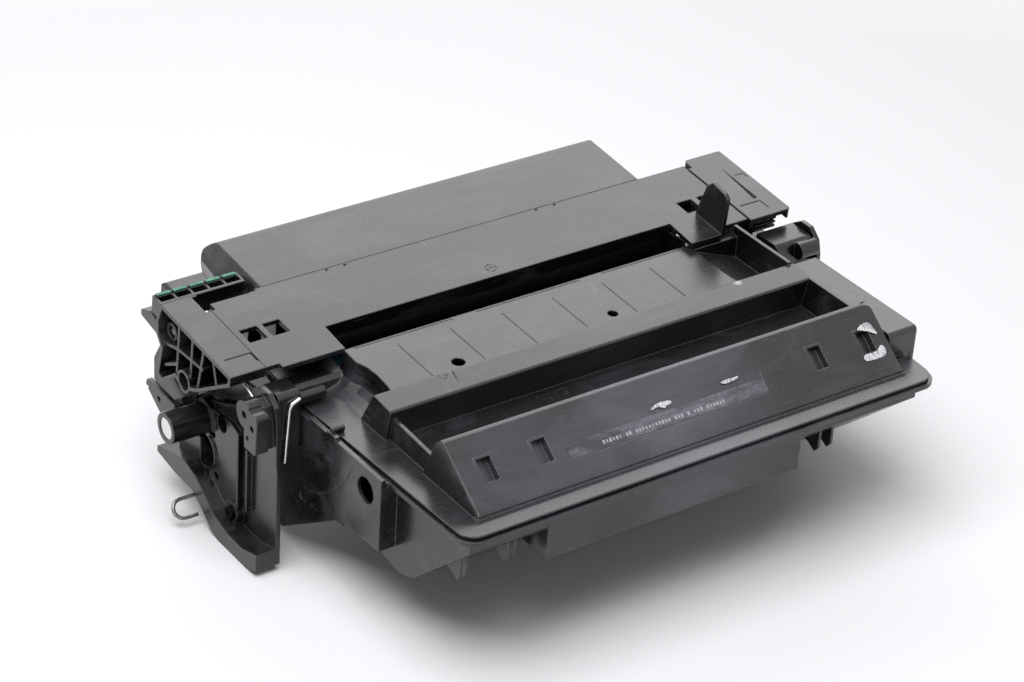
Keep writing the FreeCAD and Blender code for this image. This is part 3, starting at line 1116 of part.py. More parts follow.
loop_r = math.hypot(loop_dy, loop_dz) / 2
loop_path = [V(right_plate_x - 0.2, shutter_pivot_y, shutter_pivot_z),
             V(loop_x + loop_r, shutter_pivot_y, shutter_pivot_z)]
for i in range(1, 6):
    turn = math.radians(30.0 * i)
    part = (1 - math.cos(turn)) / 2
    loop_path.append(V(loop_x + loop_r - loop_r * math.sin(turn), shutter_pivot_y + loop_dy * part,
                       shutter_pivot_z + loop_dz * part))
loop_path.append(V(loop_x + loop_r, shutter_pivot_y + loop_dy, shutter_pivot_z + loop_dz))
loop_path.append(V(skirt_x - 0.8, shutter_pivot_y + loop_dy, shutter_pivot_z + loop_dz))
parts["shutter_rod"] = wire(loop_path, wire_r)

# the cover over the gear chain at the right end
cover_section = [(24.0, 15.0), (24.0, -17.0), (29.0, -26.0), (52.0, -46.0), (118.0, -46.0), (118.0, 6.0),
                 (104.0, 15.0)]
cover_x0 = body_right_x + play
cover_x1 = flange_len + 6.5
thin_x1 = right_saddle_x0 - play
cover_outer = prism_x_rounded(cover_section, [2.5, 1, 2, 2, 1, 2, 2], cover_x0, cover_x1)
cover_inner = prism_x(inset(cover_section, wall), cover_x0 - 1, cover_x1 - wall)
thin_section = [(117.0, 4.0), (117.0, -46.0), (151.0, -46.0), (151.0, 0.0)]
thin_outer = prism_x(thin_section, cover_x0, thin_x1)
thin_inner = prism_x([(115.0, 2.5), (115.0, -44.5), (152.0, -44.5), (152.0, -1.5)], cover_x0 - 1,
                     thin_x1 - 1.2)
cover = less(join(cover_outer.cut(cover_inner), thin_outer), thin_inner)
cover = cover.cut(box(cover_x0 - 1, flange_len + 4.0, 20.0, 24.0 + play, -8.0, 0.5))
parts["gear_cover"] = cover

# left rear frame: a bar with five open cells that carries the green strip
cell_x0 = cap_x0 + 0.4
cell_y0 = cap_rear_y + play
cell_y1 = 221.0
cell_top = top_z - 0.2
cells = box(cell_x0, cell_x1, cell_y0, cell_y1, top_z - 12.0, cell_top)
cell_pitch = (cell_x1 - cell_x0 - 1.2) / 5
for i in range(5):
    x = cell_x0 + 1.2 + i * cell_pitch
    cells = cells.cut(box(x, x + cell_pitch - 1.2, cell_y0 + 1.8, cell_y1 - 2.6, top_z - 8.0, top_z + 1))
wing_clear = box(cell_x0 - 1, cap_x0 + 8.0 + play, cell_y0 - 1, cell_y1 + 20, top_z - 15.0, wing_top + play)
cap_rear = prism_x([(200.0, top_z + 2), (cap_rear_y + play, top_z + 2), (cap_rear_y + play, top_z),
                    (215.4 + play, 9.4),
                    (214.9 + play, 0.0), (200.0, 0.0)], cap_x0 - 1, unit_x0 + play)
bin_space = prism_x([(bin_front_y - play, bin_floor_z - play), (bin_rear_y + play, bin_floor_z - play),
                     (bin_rear_y + play, top_z + 5), (bin_front_y - play, top_z + 5)], bin_x0 - play, bin_x1)
bin_space = bin_space.cut(bin_end_cut(-play))
cells = less(cells, wing_clear, cap_rear, bin_space)
rear_block = box(cell_x0 + 14.0, cell_x0 + 37.5, cell_y1 - 0.5, cell_y1 + 15.5, top_z - 14.0, top_z - 6.0)
rear_block = rear_block.makeFillet(2.0,
                                   [e for e in rear_block.Edges if abs(e.BoundBox.ZMin - e.BoundBox.ZMax) < 0.01
                                         and e.BoundBox.ZMin > top_z - 7.0])
parts["left_rear_frame"] = tilted(join(cells, rear_block.cut(bin_space)))
green = []
for i in range(5):
    x = cell_x0 + 1.2 + i * cell_pitch
    green.append(box(x, x + cell_pitch - 1.6, cell_y1 - 2.4, cell_y1 - 0.6, cell_top, cell_top + 1.0))
green_bar = box(cell_x0 + 1.2, cell_x1 - 2.0, cell_y1 - 2.0, cell_y1 - 1.0, cell_top, cell_top + 0.5)
parts["green_strip"] = tilted(join(green_bar, *green))

FreeCAD.Console.PrintMessage("all drawn\n")

# put the origin under the middle of the footprint
whole = Part.makeCompound(list(parts.values()))
extent = whole.optimalBoundingBox(False)
move = V(-(extent.XMin + extent.XMax) / 2, -(extent.YMin + extent.YMax) / 2, -extent.ZMin)
print("moved by", round(move.x, 4), round(move.y, 4), round(move.z, 4))
print("size", round(extent.XLength, 2), round(extent.YLength, 2), round(extent.ZLength, 2))

os.makedirs("parts", exist_ok=True)
for name, shape in parts.items():
    placed = shape.copy()
    placed.translate(move)
    if len(placed.Solids) == 1:
        placed = placed.Solids[0]
    else:
        print("check", name, "has", len(placed.Solids), "solids")
    placed.exportStep("parts/" + name + ".step")
    print(name, len(placed.Solids), round(placed.Volume), placed.isValid())
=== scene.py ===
# %% [markdown]
# # A toner and drum cartridge, dressed for the studio
# The object is a long black printer cartridge. Its solids were drawn and packed before this
# script runs, so every length, hole and rib is already there. What is left is what a
# photographer would notice: how the moulded plastic takes the light, the softened edges, the
# wear, the bright wires and a few marks of use. We load the imported model first, because every
# later piece is placed against it.

# %% Load the imported model
import json
import math
import bmesh
import bpy
from mathutils import Matrix, Quaternion, Vector


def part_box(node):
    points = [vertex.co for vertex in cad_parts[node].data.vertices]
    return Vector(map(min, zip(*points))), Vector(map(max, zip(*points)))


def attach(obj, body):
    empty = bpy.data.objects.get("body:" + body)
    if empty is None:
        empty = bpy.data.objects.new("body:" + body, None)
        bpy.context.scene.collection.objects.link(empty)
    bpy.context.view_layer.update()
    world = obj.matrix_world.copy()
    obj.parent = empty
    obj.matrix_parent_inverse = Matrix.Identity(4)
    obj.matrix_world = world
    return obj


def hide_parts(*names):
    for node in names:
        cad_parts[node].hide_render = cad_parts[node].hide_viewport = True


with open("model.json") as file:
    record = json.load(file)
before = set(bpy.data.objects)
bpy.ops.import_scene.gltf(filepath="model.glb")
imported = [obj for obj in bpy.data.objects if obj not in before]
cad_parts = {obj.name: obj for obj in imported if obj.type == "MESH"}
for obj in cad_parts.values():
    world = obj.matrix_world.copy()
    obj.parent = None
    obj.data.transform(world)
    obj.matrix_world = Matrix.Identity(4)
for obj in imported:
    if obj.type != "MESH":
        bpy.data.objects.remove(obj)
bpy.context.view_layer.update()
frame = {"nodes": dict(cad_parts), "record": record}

# %% [markdown]
# ## Millimetres on the drawing
# The solids were drawn in millimetres from the front left corner of the hopper's flange, and
# then moved so that the middle of the footprint is zero. Working in the same drawing numbers
# keeps this script readable, so one helper turns a drawing point into a place in the scene.
# A second helper does the same for points on the sloping face of the front ridge.

# %% Drawing helpers
MM = 0.001
FLANGE_CORNER = Vector((-137.5, -125.7835, 82.0)) * MM
RIDGE_SLOPE = 0.67516
RIDGE_FOOT = (0.0, 10.4, 2.2)


def at(x, y, z):
    return Vector((x, y, z)) * MM + FLANGE_CORNER


def on_ridge(along, up, out=0.0):
    c, s = math.cos(RIDGE_SLOPE), math.sin(RIDGE_SLOPE)
    return at(along, RIDGE_FOOT[1] + up * c - out * s, RIDGE_FOOT[2] + up * s + out * c)


print("ridge face starts at", [round(v, 4) for v in on_ridge(12.6, 0)])

# %% [markdown]
# ## Camera
# The photograph was taken from a good metre and a half away with a long lens, looking down at
# about 31 degrees past the cartridge's front left corner, and the camera leant a few degrees
# to one side. A long lens keeps parallel edges nearly parallel, as they are in the picture.

# %% Make the camera
CAMERA_PLACE = Vector((-0.793893, -1.0191155, 0.858877))
CAMERA_BEARING, CAMERA_DROP, CAMERA_LEAN = (math.radians(a) for a in (37.013, 31.143, 3.930))
SENSOR_MM, LENS_MM = 36.0, 104.95

camera_data = bpy.data.cameras.new("studio_camera")
camera_data.sensor_width, camera_data.lens = SENSOR_MM, LENS_MM
camera_data.clip_start, camera_data.clip_end = 0.05, 30.0
camera = bpy.data.objects.new("studio_camera", camera_data)
bpy.context.scene.collection.objects.link(camera)
looks_along = Vector((math.sin(CAMERA_BEARING) * math.cos(CAMERA_DROP),
                      math.cos(CAMERA_BEARING) * math.cos(CAMERA_DROP), -math.sin(CAMERA_DROP)))
camera.location = CAMERA_PLACE
camera.rotation_mode = "QUATERNION"
camera.rotation_quaternion = (looks_along.to_track_quat("-Z", "Y")
                              @ Quaternion((0.0, 0.0, 1.0), CAMERA_LEAN))
bpy.context.scene.camera = camera
bpy.context.scene.view_settings.view_transform = "Standard"
print("camera is", round(CAMERA_PLACE.length, 3), "m from the middle of the footprint")

# %% [markdown]
# ## Two small helpers for materials
# Colours are chosen as a person reads them on a screen, so a function turns each hex value
# into the linear numbers that the renderer works with. The other function adds one shader
# node, sets its options and sockets, and links whatever socket it is handed. Every material
# below is made with these two and nothing hidden.


# %% Material helpers
def linear(hex_colour):
    parts = [int(hex_colour[i:i + 2], 16) / 255 for i in (1, 3, 5)]
    light = [v / 12.92 if v <= 0.04045 else ((v + 0.055) / 1.055) ** 2.4 for v in parts]
    return (*light, 1.0)


def add(tree, kind, sockets=None, **options):
    node = tree.nodes.new(kind)
    for name, value in options.items():
        setattr(node, name, value)
    for name, value in (sockets or {}).items():
        socket = node.inputs[name]
        if isinstance(value, bpy.types.NodeSocket):
            tree.links.new(value, socket)
        else:
            socket.default_value = value
    return node


def mix(tree, share, first, second):
    # one colour laid over another; share 0 gives the first and share 1 the second
    node = add(tree, "ShaderNodeMix", data_type="RGBA")
    for index, value in ((0, share), (6, first), (7, second)):
        socket = node.inputs[index]
        if isinstance(value, bpy.types.NodeSocket):
            tree.links.new(value, socket)
        else:
            socket.default_value = linear(value) if isinstance(value, str) else value
    return node.outputs[2]


def spread(tree, value, low, high, start=0.0, end=1.0):
    # turns the part of a signal between low and high into start to end
    node = add(tree, "ShaderNodeMapRange", {"Value": value, "From Min": low, "From Max": high,
                                            "To Min": start, "To Max": end})
    return node.outputs[0]


def maths(tree, operation, *values):
    return add(tree, "ShaderNodeMath", dict(enumerate(values)), operation=operation).outputs[0]


def empty_material(name):
    material = bpy.data.materials.new(name)
    material.use_nodes = True
    material.node_tree.nodes.clear()
    return material, material.node_tree


print("mid grey in linear light is", round(linear("#808080")[0], 3))

# %% [markdown]
# ## Floor and studio light
# The picture is high key: a white table runs into a white background. A large soft panel hangs
# overhead and a second one stands behind the cartridge. The panels are what turns the flat tops
# pale grey although the plastic is black, and they leave a soft shadow under the belly and to
# the right. The world gives the fill light. To the camera and to mirror-like surfaces it is
# plain white, so metal and gloss show a white room. The paper is a real surface that keeps the
# shadow, and it brightens to the eye with distance, as a paper sweep does towards its backdrop.

# %% Floor, world and lamps
FLOOR_HALF, FLOOR_DROP = 6.0, 0.0004
FILL_LIGHT = 0.16
GLOW_FROM, GLOW_TO = 0.6, 2.2
COOL_WHITE = (0.985, 0.978, 1.0)

floor_mesh = bpy.data.meshes.new("studio_floor")
floor_mesh.from_pydata([(x * FLOOR_HALF, y * FLOOR_HALF, -FLOOR_DROP)
                        for x, y in ((-1, -1), (1, -1), (1, 1), (-1, 1))], [], [(0, 1, 2, 3)])
floor = bpy.data.objects.new("studio_floor", floor_mesh)
bpy.context.scene.collection.objects.link(floor)


def seen_by_eye(tree):
    # 1 for rays that a viewer sees straight, in a mirror or through glass,
    # and 0 for rays that only light things
    ray = add(tree, "ShaderNodeLightPath")
    seen = maths(tree, "MAXIMUM", ray.outputs["Is Camera Ray"], ray.outputs["Is Glossy Ray"])
    return maths(tree, "MAXIMUM", seen, ray.outputs["Is Transmission Ray"])


# matt paper: pale, with a faint fibre and no highlight of its own
paper, tree = empty_material("matt white studio paper")
place = add(tree, "ShaderNodeTexCoord").outputs["Object"]
fibre = add(tree, "ShaderNodeTexNoise", {"Vector": place, "Scale": 700.0, "Detail": 3.0})
sheet = add(tree, "ShaderNodeBsdfPrincipled",
            {"Base Color": mix(tree, fibre.outputs["Fac"], "#f2f2f4", "#f7f7f8"), "Roughness": 0.75,
             "Specular IOR Level": 0.2})
apart = add(tree, "ShaderNodeVectorMath", {0: place}, operation="LENGTH").outputs["Value"]
sweep = maths(tree, "MULTIPLY", seen_by_eye(tree),
              spread(tree, apart, GLOW_FROM, GLOW_TO, 0.02, 0.9))
glow = add(tree, "ShaderNodeEmission", {"Color": linear("#ffffff"), "Strength": sweep})
lit = add(tree, "ShaderNodeAddShader", {0: sheet.outputs[0], 1: glow.outputs[0]})
add(tree, "ShaderNodeOutputMaterial", {"Surface": lit.outputs[0]})
floor_mesh.materials.append(paper)

world = bpy.data.worlds.new("white_studio")
bpy.context.scene.world = world
world.use_nodes = True
tree = world.node_tree
tree.nodes.clear()
sky = add(tree, "ShaderNodeBackground",
          {"Color": linear("#ffffff"),
           "Strength": spread(tree, seen_by_eye(tree), 0.0, 1.0, FILL_LIGHT, 1.0)})
add(tree, "ShaderNodeOutputWorld", {"Surface": sky.outputs[0]})


def soft_panel(name, place, aim, width, depth, brightness):
    # brightness is how many times brighter than white paper the panel's face is
    lamp = bpy.data.lights.new(name, "AREA")
    lamp.shape, lamp.size, lamp.size_y = "RECTANGLE", width, depth
    lamp.energy = brightness * math.pi * width * depth
    lamp.color = COOL_WHITE
    holder = bpy.data.objects.new(name, lamp)
    bpy.context.scene.collection.objects.link(holder)
    holder.location = place
    holder.rotation_mode = "QUATERNION"
    holder.rotation_quaternion = (Vector(aim) - Vector(place)).to_track_quat("-Z", "Y")
    print(name, "gives", round(lamp.energy, 1), "W")


soft_panel("overhead_panel", place=(-0.42, -0.16, 1.42), aim=(0.0, 0.0, 0.0),
           width=1.3, depth=1.2, brightness=4.9)
soft_panel("rear_panel", place=(1.05, 1.60, 1.30), aim=(0.0, 0.0, 0.08),
           width=2.4, depth=1.2, brightness=2.0)

# %% [markdown]
# ## Moulded black plastic
# The shells are high-impact polystyrene, injection moulded against a finely etched tool, then
# handled and refilled. Moulding gives a satin skin with a fine grain. Handling adds cloudy
# smears, hair-thin scratches along and across, and edges rubbed a little paler. A pale layer on
# what faces up is partly dust that settles there and partly painted sheen, which lightens the
# tops towards the grey of the lamps' reflection. Each of those is one mask. Smears and that dust
# and sheen layer change colour and gloss together, because a smear that changes only colour
# looks painted on. Scratches and rubbed edges are too narrow to show a gloss of their own, so
# they change the colour alone. The edge mask compares the true surface direction with a rounded
# one, which differs only near edges.

# %% The black plastic, as a recipe
EDGE_WEAR_MM, SINK_MM = 0.9, 0.25


def moulded_black(name, skin, haze, rough, smear, dust_and_sheen_amount, scratch, grain_mm, grain_depth, shine,
                  edge="#6a6a6f", marks=()):
    material, tree = empty_material(name)
    place = add(tree, "ShaderNodeTexCoord").outputs["Object"]
    facing = add(tree, "ShaderNodeNewGeometry").outputs["Normal"]

    # slow changes of tone across the moulding, about 45 mm wide
    tone = add(tree, "ShaderNodeTexNoise", {"Vector": place, "Scale": 22.0, "Detail": 4.0,
                                            "Roughness": 0.6}).outputs["Fac"]
    # smears: wiped clouds, drawn out along the cartridge
    wiped = add(tree, "ShaderNodeMapping", {"Vector": place, "Rotation": (0.0, 0.0, 0.35),
                                            "Scale": (14.0, 34.0, 34.0)})
    cloud = add(tree, "ShaderNodeTexNoise",
                {"Vector": wiped.outputs[0], "Scale": 1.0, "Detail": 6.0, "Roughness": 0.62,
                 "Distortion": 0.8}).outputs["Fac"]
    smears = spread(tree, cloud, 0.50, 0.74, 0.0, smear)
    # scratches: two families of hairs, one along the cartridge and one across
    hairs = []
    for turn, stretch in ((0.12, (60.0, 2600.0, 900.0)), (1.35, (2200.0, 70.0, 900.0))):
        way = add(tree, "ShaderNodeMapping",
                  {"Vector": place, "Rotation": (0.0, 0.0, turn), "Scale": stretch})
        hair = add(tree, "ShaderNodeTexNoise",
                   {"Vector": way.outputs[0], "Scale": 1.0, "Detail": 1.0})
        hairs.append(spread(tree, hair.outputs["Fac"], 0.70, 0.76, 0.0, scratch))
    scratches = maths(tree, "MULTIPLY", maths(tree, "MAXIMUM", *hairs),
                      spread(tree, tone, 0.42, 0.62))
    # dust lies on what faces up, in specks of about 1 mm; the same pale layer is also painted sheen
    # that lightens the tops
    up = add(tree, "ShaderNodeSeparateXYZ", {0: facing}).outputs["Z"]
    specks = add(tree, "ShaderNodeTexNoise",
                 {"Vector": place, "Scale": 900.0, "Detail": 2.0}).outputs["Fac"]
    dust_and_sheen = maths(tree, "MULTIPLY", spread(tree, up, 0.55, 0.98, 0.0, dust_and_sheen_amount),
                  spread(tree, specks, 0.3, 0.75, 0.7, 1.2))
    # rubbed edges
    soft_edge = add(tree, "ShaderNodeBevel", {"Radius": EDGE_WEAR_MM * MM}, samples=4).outputs[0]
    turned = add(tree, "ShaderNodeVectorMath", {0: soft_edge, 1: facing}, operation="DOT_PRODUCT")
    rubbed = spread(tree, turned.outputs["Value"], 0.995, 0.86, 0.0, 0.55)

    shade = mix(tree, tone, skin, haze)
    shade = mix(tree, smears, shade, "#77777f")
    # pale layer on what faces up: dust, and painted sheen on the tops
    shade = mix(tree, dust_and_sheen, shade, "#8e8d92")
    shade = mix(tree, rubbed, shade, edge)
    shade = mix(tree, scratches, shade, "#8c8c92")
    for point, radius_mm, colour, amount in marks:
        away = add(tree, "ShaderNodeVectorMath", {0: place, 1: tuple(point)}, operation="DISTANCE")
        spot = spread(tree, away.outputs["Value"], radius_mm * MM, radius_mm * MM * 0.2,
                      0.0, amount)
        shade = mix(tree, maths(tree, "MULTIPLY", spot, cloud), shade, colour)

    # gloss: satin, duller where smeared and under the pale dust and sheen layer
    dull = maths(tree, "MULTIPLY_ADD", smears, 0.16, rough)
    dull = maths(tree, "MULTIPLY_ADD", dust_and_sheen, 0.25, dull)
    dull = maths(tree, "MULTIPLY_ADD", specks, 0.08, dull)
    # the etched grain of the tool, with a slow sink wave under it
    grain = add(tree, "ShaderNodeTexNoise",
                {"Vector": place, "Scale": 1000.0 / grain_mm, "Detail": 2.0})
    wave = add(tree, "ShaderNodeTexNoise", {"Vector": place, "Scale": 60.0, "Detail": 1.0})
    etched = add(tree, "ShaderNodeBump", {"Height": grain.outputs["Fac"], "Strength": 0.35,
                                          "Distance": grain_depth * MM, "Normal": soft_edge})
    sunk = add(tree, "ShaderNodeBump", {"Height": wave.outputs["Fac"], "Strength": 0.25,
                                        "Distance": SINK_MM * MM, "Normal": etched.outputs[0]})
    skin_shader = add(tree, "ShaderNodeBsdfPrincipled",
                      {"Base Color": shade, "Roughness": dull, "IOR": 1.55,
                       "Specular IOR Level": shine, "Normal": sunk.outputs[0]})
    add(tree, "ShaderNodeOutputMaterial", {"Surface": skin_shader.outputs[0]})
    print("made", name)
    return material


# %% [markdown]
# ## Two blacks, and the marks no rule would place
# The long shells are satin and have been handled a lot. The end plates, the hinge pieces and
# the drum shutter were moulded in a glossier plastic and show less wear. Some marks belong to
# this one cartridge and follow no rule, so they are listed one by one: each has a point, a
# radius in mm, a colour and an amount, and it fades out through the same clouds as the smears.
# Not all of them are stains: the two pale patches on the ridge are painted sheen, and the dark
# patches at its right end are partly a wiped smear and partly painted shade.
# An etched grain is about 0.1 mm, too fine to show at this distance, so it is drawn a few
# times coarser.

# %% The two blacks
stains_and_painted_light = [
    # partly painted shade: the next two dark patches darken the right end of the ridge face, and
    # also stand for a wiped smear
    (at(266, 24, 12), 12.0, "#050506", 0.9),         # dark wiped patches by the ridge's right end
    (at(249, 20, 10), 9.0, "#060607", 0.8),
    (at(233.2, 99.0, 18.5), 3.2, "#c9c9ce", 1.5),    # a pale chip on the beam
    # painted sheen: the next two paler patches lighten the ridge face where the lamps shine on it
    (on_ridge(140, 18), 62.0, "#5e5e68", 1.1),       # the ridge, hazy where hands hold it
    (on_ridge(50, 18), 50.0, "#42424b", 1.0),
    (at(118, 236, 25), 34.0, "#3a3a3e", 0.7),        # faint clouds on the waste bin
    (at(60, 228, 24), 22.0, "#45454a", 0.8),
    (at(-8, 85, -22), 20.0, "#4a4a4e", 0.6),         # and one on the tub's left side
]
shell_black = moulded_black("polystyrene, moulded satin black", "#09090b", "#0e0e11", 0.22,
                            smear=0.26, dust_and_sheen_amount=0.05, scratch=0.45, grain_mm=0.4, grain_depth=0.0012,
                            shine=0.58, marks=stains_and_painted_light)
end_black = moulded_black("polystyrene, moulded gloss black", "#080809", "#0d0d0f", 0.20,
                          smear=0.10, dust_and_sheen_amount=0.03, scratch=0.20, grain_mm=1.2, grain_depth=0.006,
                          edge="#4c4c52", shine=0.52)

# %% [markdown]
# ## White gears, coated drum and the metals
# Most of these sit inside and only show through the slot or from the sides. The gears are
# acetal, a milky plastic with a waxy skin that needs no paint. The drum is an aluminium tube
# with a blue-green light-sensitive coat, dip coated and very glossy. The developer sleeve is
# aluminium blasted with beads, the magnet inside it is sintered, the blades are steel strip,
# and the wires and pins are plated. A metal takes its colour from its reflection, so for those
# the base colour is the reflection colour, and only roughness tells the finishes apart.


# %% A plain moulded or metal finish with a little variation
def finish(name, first, second, rough_low, rough_high, scale, stretch=(1.0, 1.0, 1.0), metal=0.0,
           bump_mm=0.01, **options):
    material, tree = empty_material(name)
    place = add(tree, "ShaderNodeTexCoord").outputs["Object"]
    drawn = add(tree, "ShaderNodeMapping", {"Vector": place, "Scale": stretch})
    grain = add(tree, "ShaderNodeTexNoise",
                {"Vector": drawn.outputs[0], "Scale": scale, "Detail": 4.0,
                 "Roughness": 0.6}).outputs["Fac"]
    raised = add(tree, "ShaderNodeBump",
                 {"Height": grain, "Strength": 0.4, "Distance": bump_mm * MM})
    skin_shader = add(tree, "ShaderNodeBsdfPrincipled",
                      {"Base Color": mix(tree, spread(tree, grain, 0.35, 0.65), first, second),
                       "Metallic": metal,
                       "Roughness": spread(tree, grain, 0.3, 0.7, rough_low, rough_high),
                       "Normal": raised.outputs[0], **options})
    add(tree, "ShaderNodeOutputMaterial", {"Surface": skin_shader.outputs[0]})
    print("made", name)
    return material


# %% [markdown]
# ## One finish for every slot
# The record names a material slot for each solid, and this list has one finish for each of
# those names. Wire is drawn through a die, which leaves fine lines along it, so for the spring
# steels the grain is stretched along the cartridge. Two colours and two roughness values a
# finish are enough, because the pieces are small and mostly hidden.

# %% The finishes by slot
DRAWN_ALONG = (0.2, 1.0, 1.0)
# nickel plate: bright, with soft streaks along the wire
plated_steel = finish("spring steel, nickel plated", "#e4e3df", "#d2d1cd", 0.18, 0.30, 900.0,
                      DRAWN_ALONG, metal=1.0, bump_mm=0.004)
# bare steel under oil: the same streaks, but greyer and a little softer
oiled_steel = finish("spring steel, drawn and oiled", "#8d8b88", "#6f6d6b", 0.24, 0.38, 900.0,
                     DRAWN_ALONG, metal=1.0, bump_mm=0.004)
# black oxide: a dark metal with a dim shine
black_steel = finish("screw steel, blackened", "#242425", "#1b1b1c", 0.35, 0.5, 1200.0, metal=1.0)
materials = {
    "black_shell": shell_black,
    "black_end": end_black,
    # milky and waxy, with wide soft highlights
    "gear_white": finish("acetal, moulded natural white", "#e6e3da", "#dbd7cc", 0.38, 0.5, 160.0,
                         IOR=1.48),
    # a clear coat over blue-green pigment: the sharpest reflections on the cartridge
    "drum_coat": finish("photoconductor, dip coated blue-green on aluminium", "#245a63", "#1f525c",
                        0.06, 0.12, 60.0, bump_mm=0.002, IOR=1.6),
    # countless tiny dents: a metal that stays dull from every side
    "sleeve_metal": finish("aluminium, bead blasted dark", "#5c5e62", "#505256", 0.5, 0.62, 2500.0,
                           metal=1.0),
    # a fired black ceramic, dry and grainy
    "magnet": finish("ferrite, sintered", "#2c2b2b", "#373534", 0.6, 0.75, 800.0, IOR=1.9),
    "steel": plated_steel,
    # ground with a stone: deep black and almost without shine
    "rubber_dark": finish("conductive rubber, ground smooth", "#1c1c1d", "#262628", 0.55, 0.7,
                          500.0, IOR=1.52),
    # poured into a polished mould: honey coloured and glossy
    "rubber_amber": finish("urethane rubber, cast amber", "#b4842f", "#a6762a", 0.25, 0.35, 90.0,
                           IOR=1.5),
    # rolled between polished drums: dark, flat and glossy
    "film": finish("polyester film, smoky", "#38383c", "#303034", 0.12, 0.2, 70.0, IOR=1.6),
}

# %% [markdown]
# ## The label
# The strip that lies in the recess of the ridge is a foil label, black ink on silver film. It
# has been rubbed and half peeled, so the silver shows through in drawn-out clouds. The words
# are left off: a row of plain pale bars, made further down, stands where the print was.

# %% Rubbed foil label
label, tree = empty_material("polyester foil label, printed dark and rubbed")
place = add(tree, "ShaderNodeTexCoord").outputs["Object"]
drawn = add(tree, "ShaderNodeMapping", {"Vector": place, "Scale": (26.0, 90.0, 90.0)})
cloud = add(tree, "ShaderNodeTexNoise", {"Vector": drawn.outputs[0], "Scale": 1.0, "Detail": 7.0,
                                         "Roughness": 0.7, "Distortion": 1.2}).outputs["Fac"]
flake = add(tree, "ShaderNodeTexNoise",
            {"Vector": place, "Scale": 420.0, "Detail": 3.0}).outputs["Fac"]
bare = maths(tree, "MULTIPLY", spread(tree, cloud, 0.38, 0.66),
             spread(tree, flake, 0.35, 0.6, 0.5, 1.0))
skin_shader = add(tree, "ShaderNodeBsdfPrincipled",
                  {"Base Color": mix(tree, bare, "#414047", "#83818a"),
                   "Metallic": spread(tree, bare, 0.0, 1.0, 0.1, 0.5),
                   "Roughness": spread(tree, bare, 0.0, 1.0, 0.32, 0.48)})
add(tree, "ShaderNodeOutputMaterial", {"Surface": skin_shader.outputs[0]})
materials["label"] = label
print("made", label.name)

# %% [markdown]
# ## The green strip in five parts
# A mint strip lies along the rear of the five cells at the left end. It is a moulded insert,
# and the black walls between the cells cross it, so in the picture it reads as five short bars.
# The walls repeat with the pitch of the cells, which makes them one simple repeated mask.

# %% Mint strip with crossing walls
CELL_X0, CELL_PITCH, CELL_WALL = -39.3, 9.3, 0.15
strip_green, tree = empty_material("polypropylene, moulded mint green with black walls")
place = add(tree, "ShaderNodeTexCoord").outputs["Object"]
along = add(tree, "ShaderNodeSeparateXYZ", {0: place}).outputs["X"]
cells = maths(tree, "MULTIPLY", maths(tree, "SUBTRACT", along, at(CELL_X0, 0, 0).x),
              1.0 / (CELL_PITCH * MM))
wall_here = maths(tree, "LESS_THAN", maths(tree, "FRACT", cells), CELL_WALL)
shade_wave = add(tree, "ShaderNodeTexNoise",
                 {"Vector": place, "Scale": 260.0, "Detail": 3.0}).outputs["Fac"]
mint = mix(tree, spread(tree, shade_wave, 0.35, 0.65), "#3f8f6d", "#2c6f53")
skin_shader = add(tree, "ShaderNodeBsdfPrincipled",
                  {"Base Color": mix(tree, wall_here, mint, "#101011"),
                   "Roughness": spread(tree, shade_wave, 0.3, 0.7, 0.32, 0.45)})
add(tree, "ShaderNodeOutputMaterial", {"Surface": skin_shader.outputs[0]})
materials["green"] = strip_green
print("made", strip_green.name)

# %% [markdown]
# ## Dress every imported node
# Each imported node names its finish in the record, so the materials above are simply handed out
# by that name. Nothing is left in a default grey. The two screws of the end plates share the
# slot of the steels but are blackened, so they are named apart.

# %% Hand out the materials
slot_of = {part["node"]: part["material_slot"] for part in frame["record"]["subparts"]}
bodies = frame["record"]["behaviour"]["bodies"]
body_of = {node: body for body, nodes in bodies.items() for node in nodes}
blackened = {"plate_screw_left": black_steel, "plate_screw_right": black_steel}
for name, piece in frame["nodes"].items():
    piece.data.materials.clear()
    piece.data.materials.append(blackened.get(name, materials[slot_of[name]]))
print("dressed", len(frame["nodes"]), "nodes in", len(materials), "finishes")

# %% [markdown]
# ## A small workshop for node-made shapes
# The bright wires, the springs and the print bars follow rules, so they are grown with geometry
# nodes. A group takes named numbers. It is run once on a carrier, the result is kept as a plain
# mesh, and the carrier is thrown away, so that what is handed on is ordinary geometry.


# %% Geometry node helpers
def new_group(name, numbers):
    group = bpy.data.node_groups.new(name, "GeometryNodeTree")
    group.interface.new_socket("Geometry", in_out="INPUT", socket_type="NodeSocketGeometry")
    group.interface.new_socket("Geometry", in_out="OUTPUT", socket_type="NodeSocketGeometry")
    for label_text, value in numbers.items():
        kind = "NodeSocketInt" if isinstance(value, int) else "NodeSocketFloat"
        socket = group.interface.new_socket(label_text, in_out="INPUT", socket_type=kind)
        socket.default_value = value
    return group, add(group, "NodeGroupInput").outputs


def close_group(group, geometry, material, smooth=True):
    real = add(group, "GeometryNodeRealizeInstances", {0: geometry})
    shaded = add(group, "GeometryNodeSetShadeSmooth",
                 {"Geometry": real.outputs[0], "Shade Smooth": smooth})
    painted = add(group, "GeometryNodeSetMaterial",
                  {"Geometry": shaded.outputs[0], "Material": material})
    add(group, "NodeGroupOutput", {0: painted.outputs[0]})


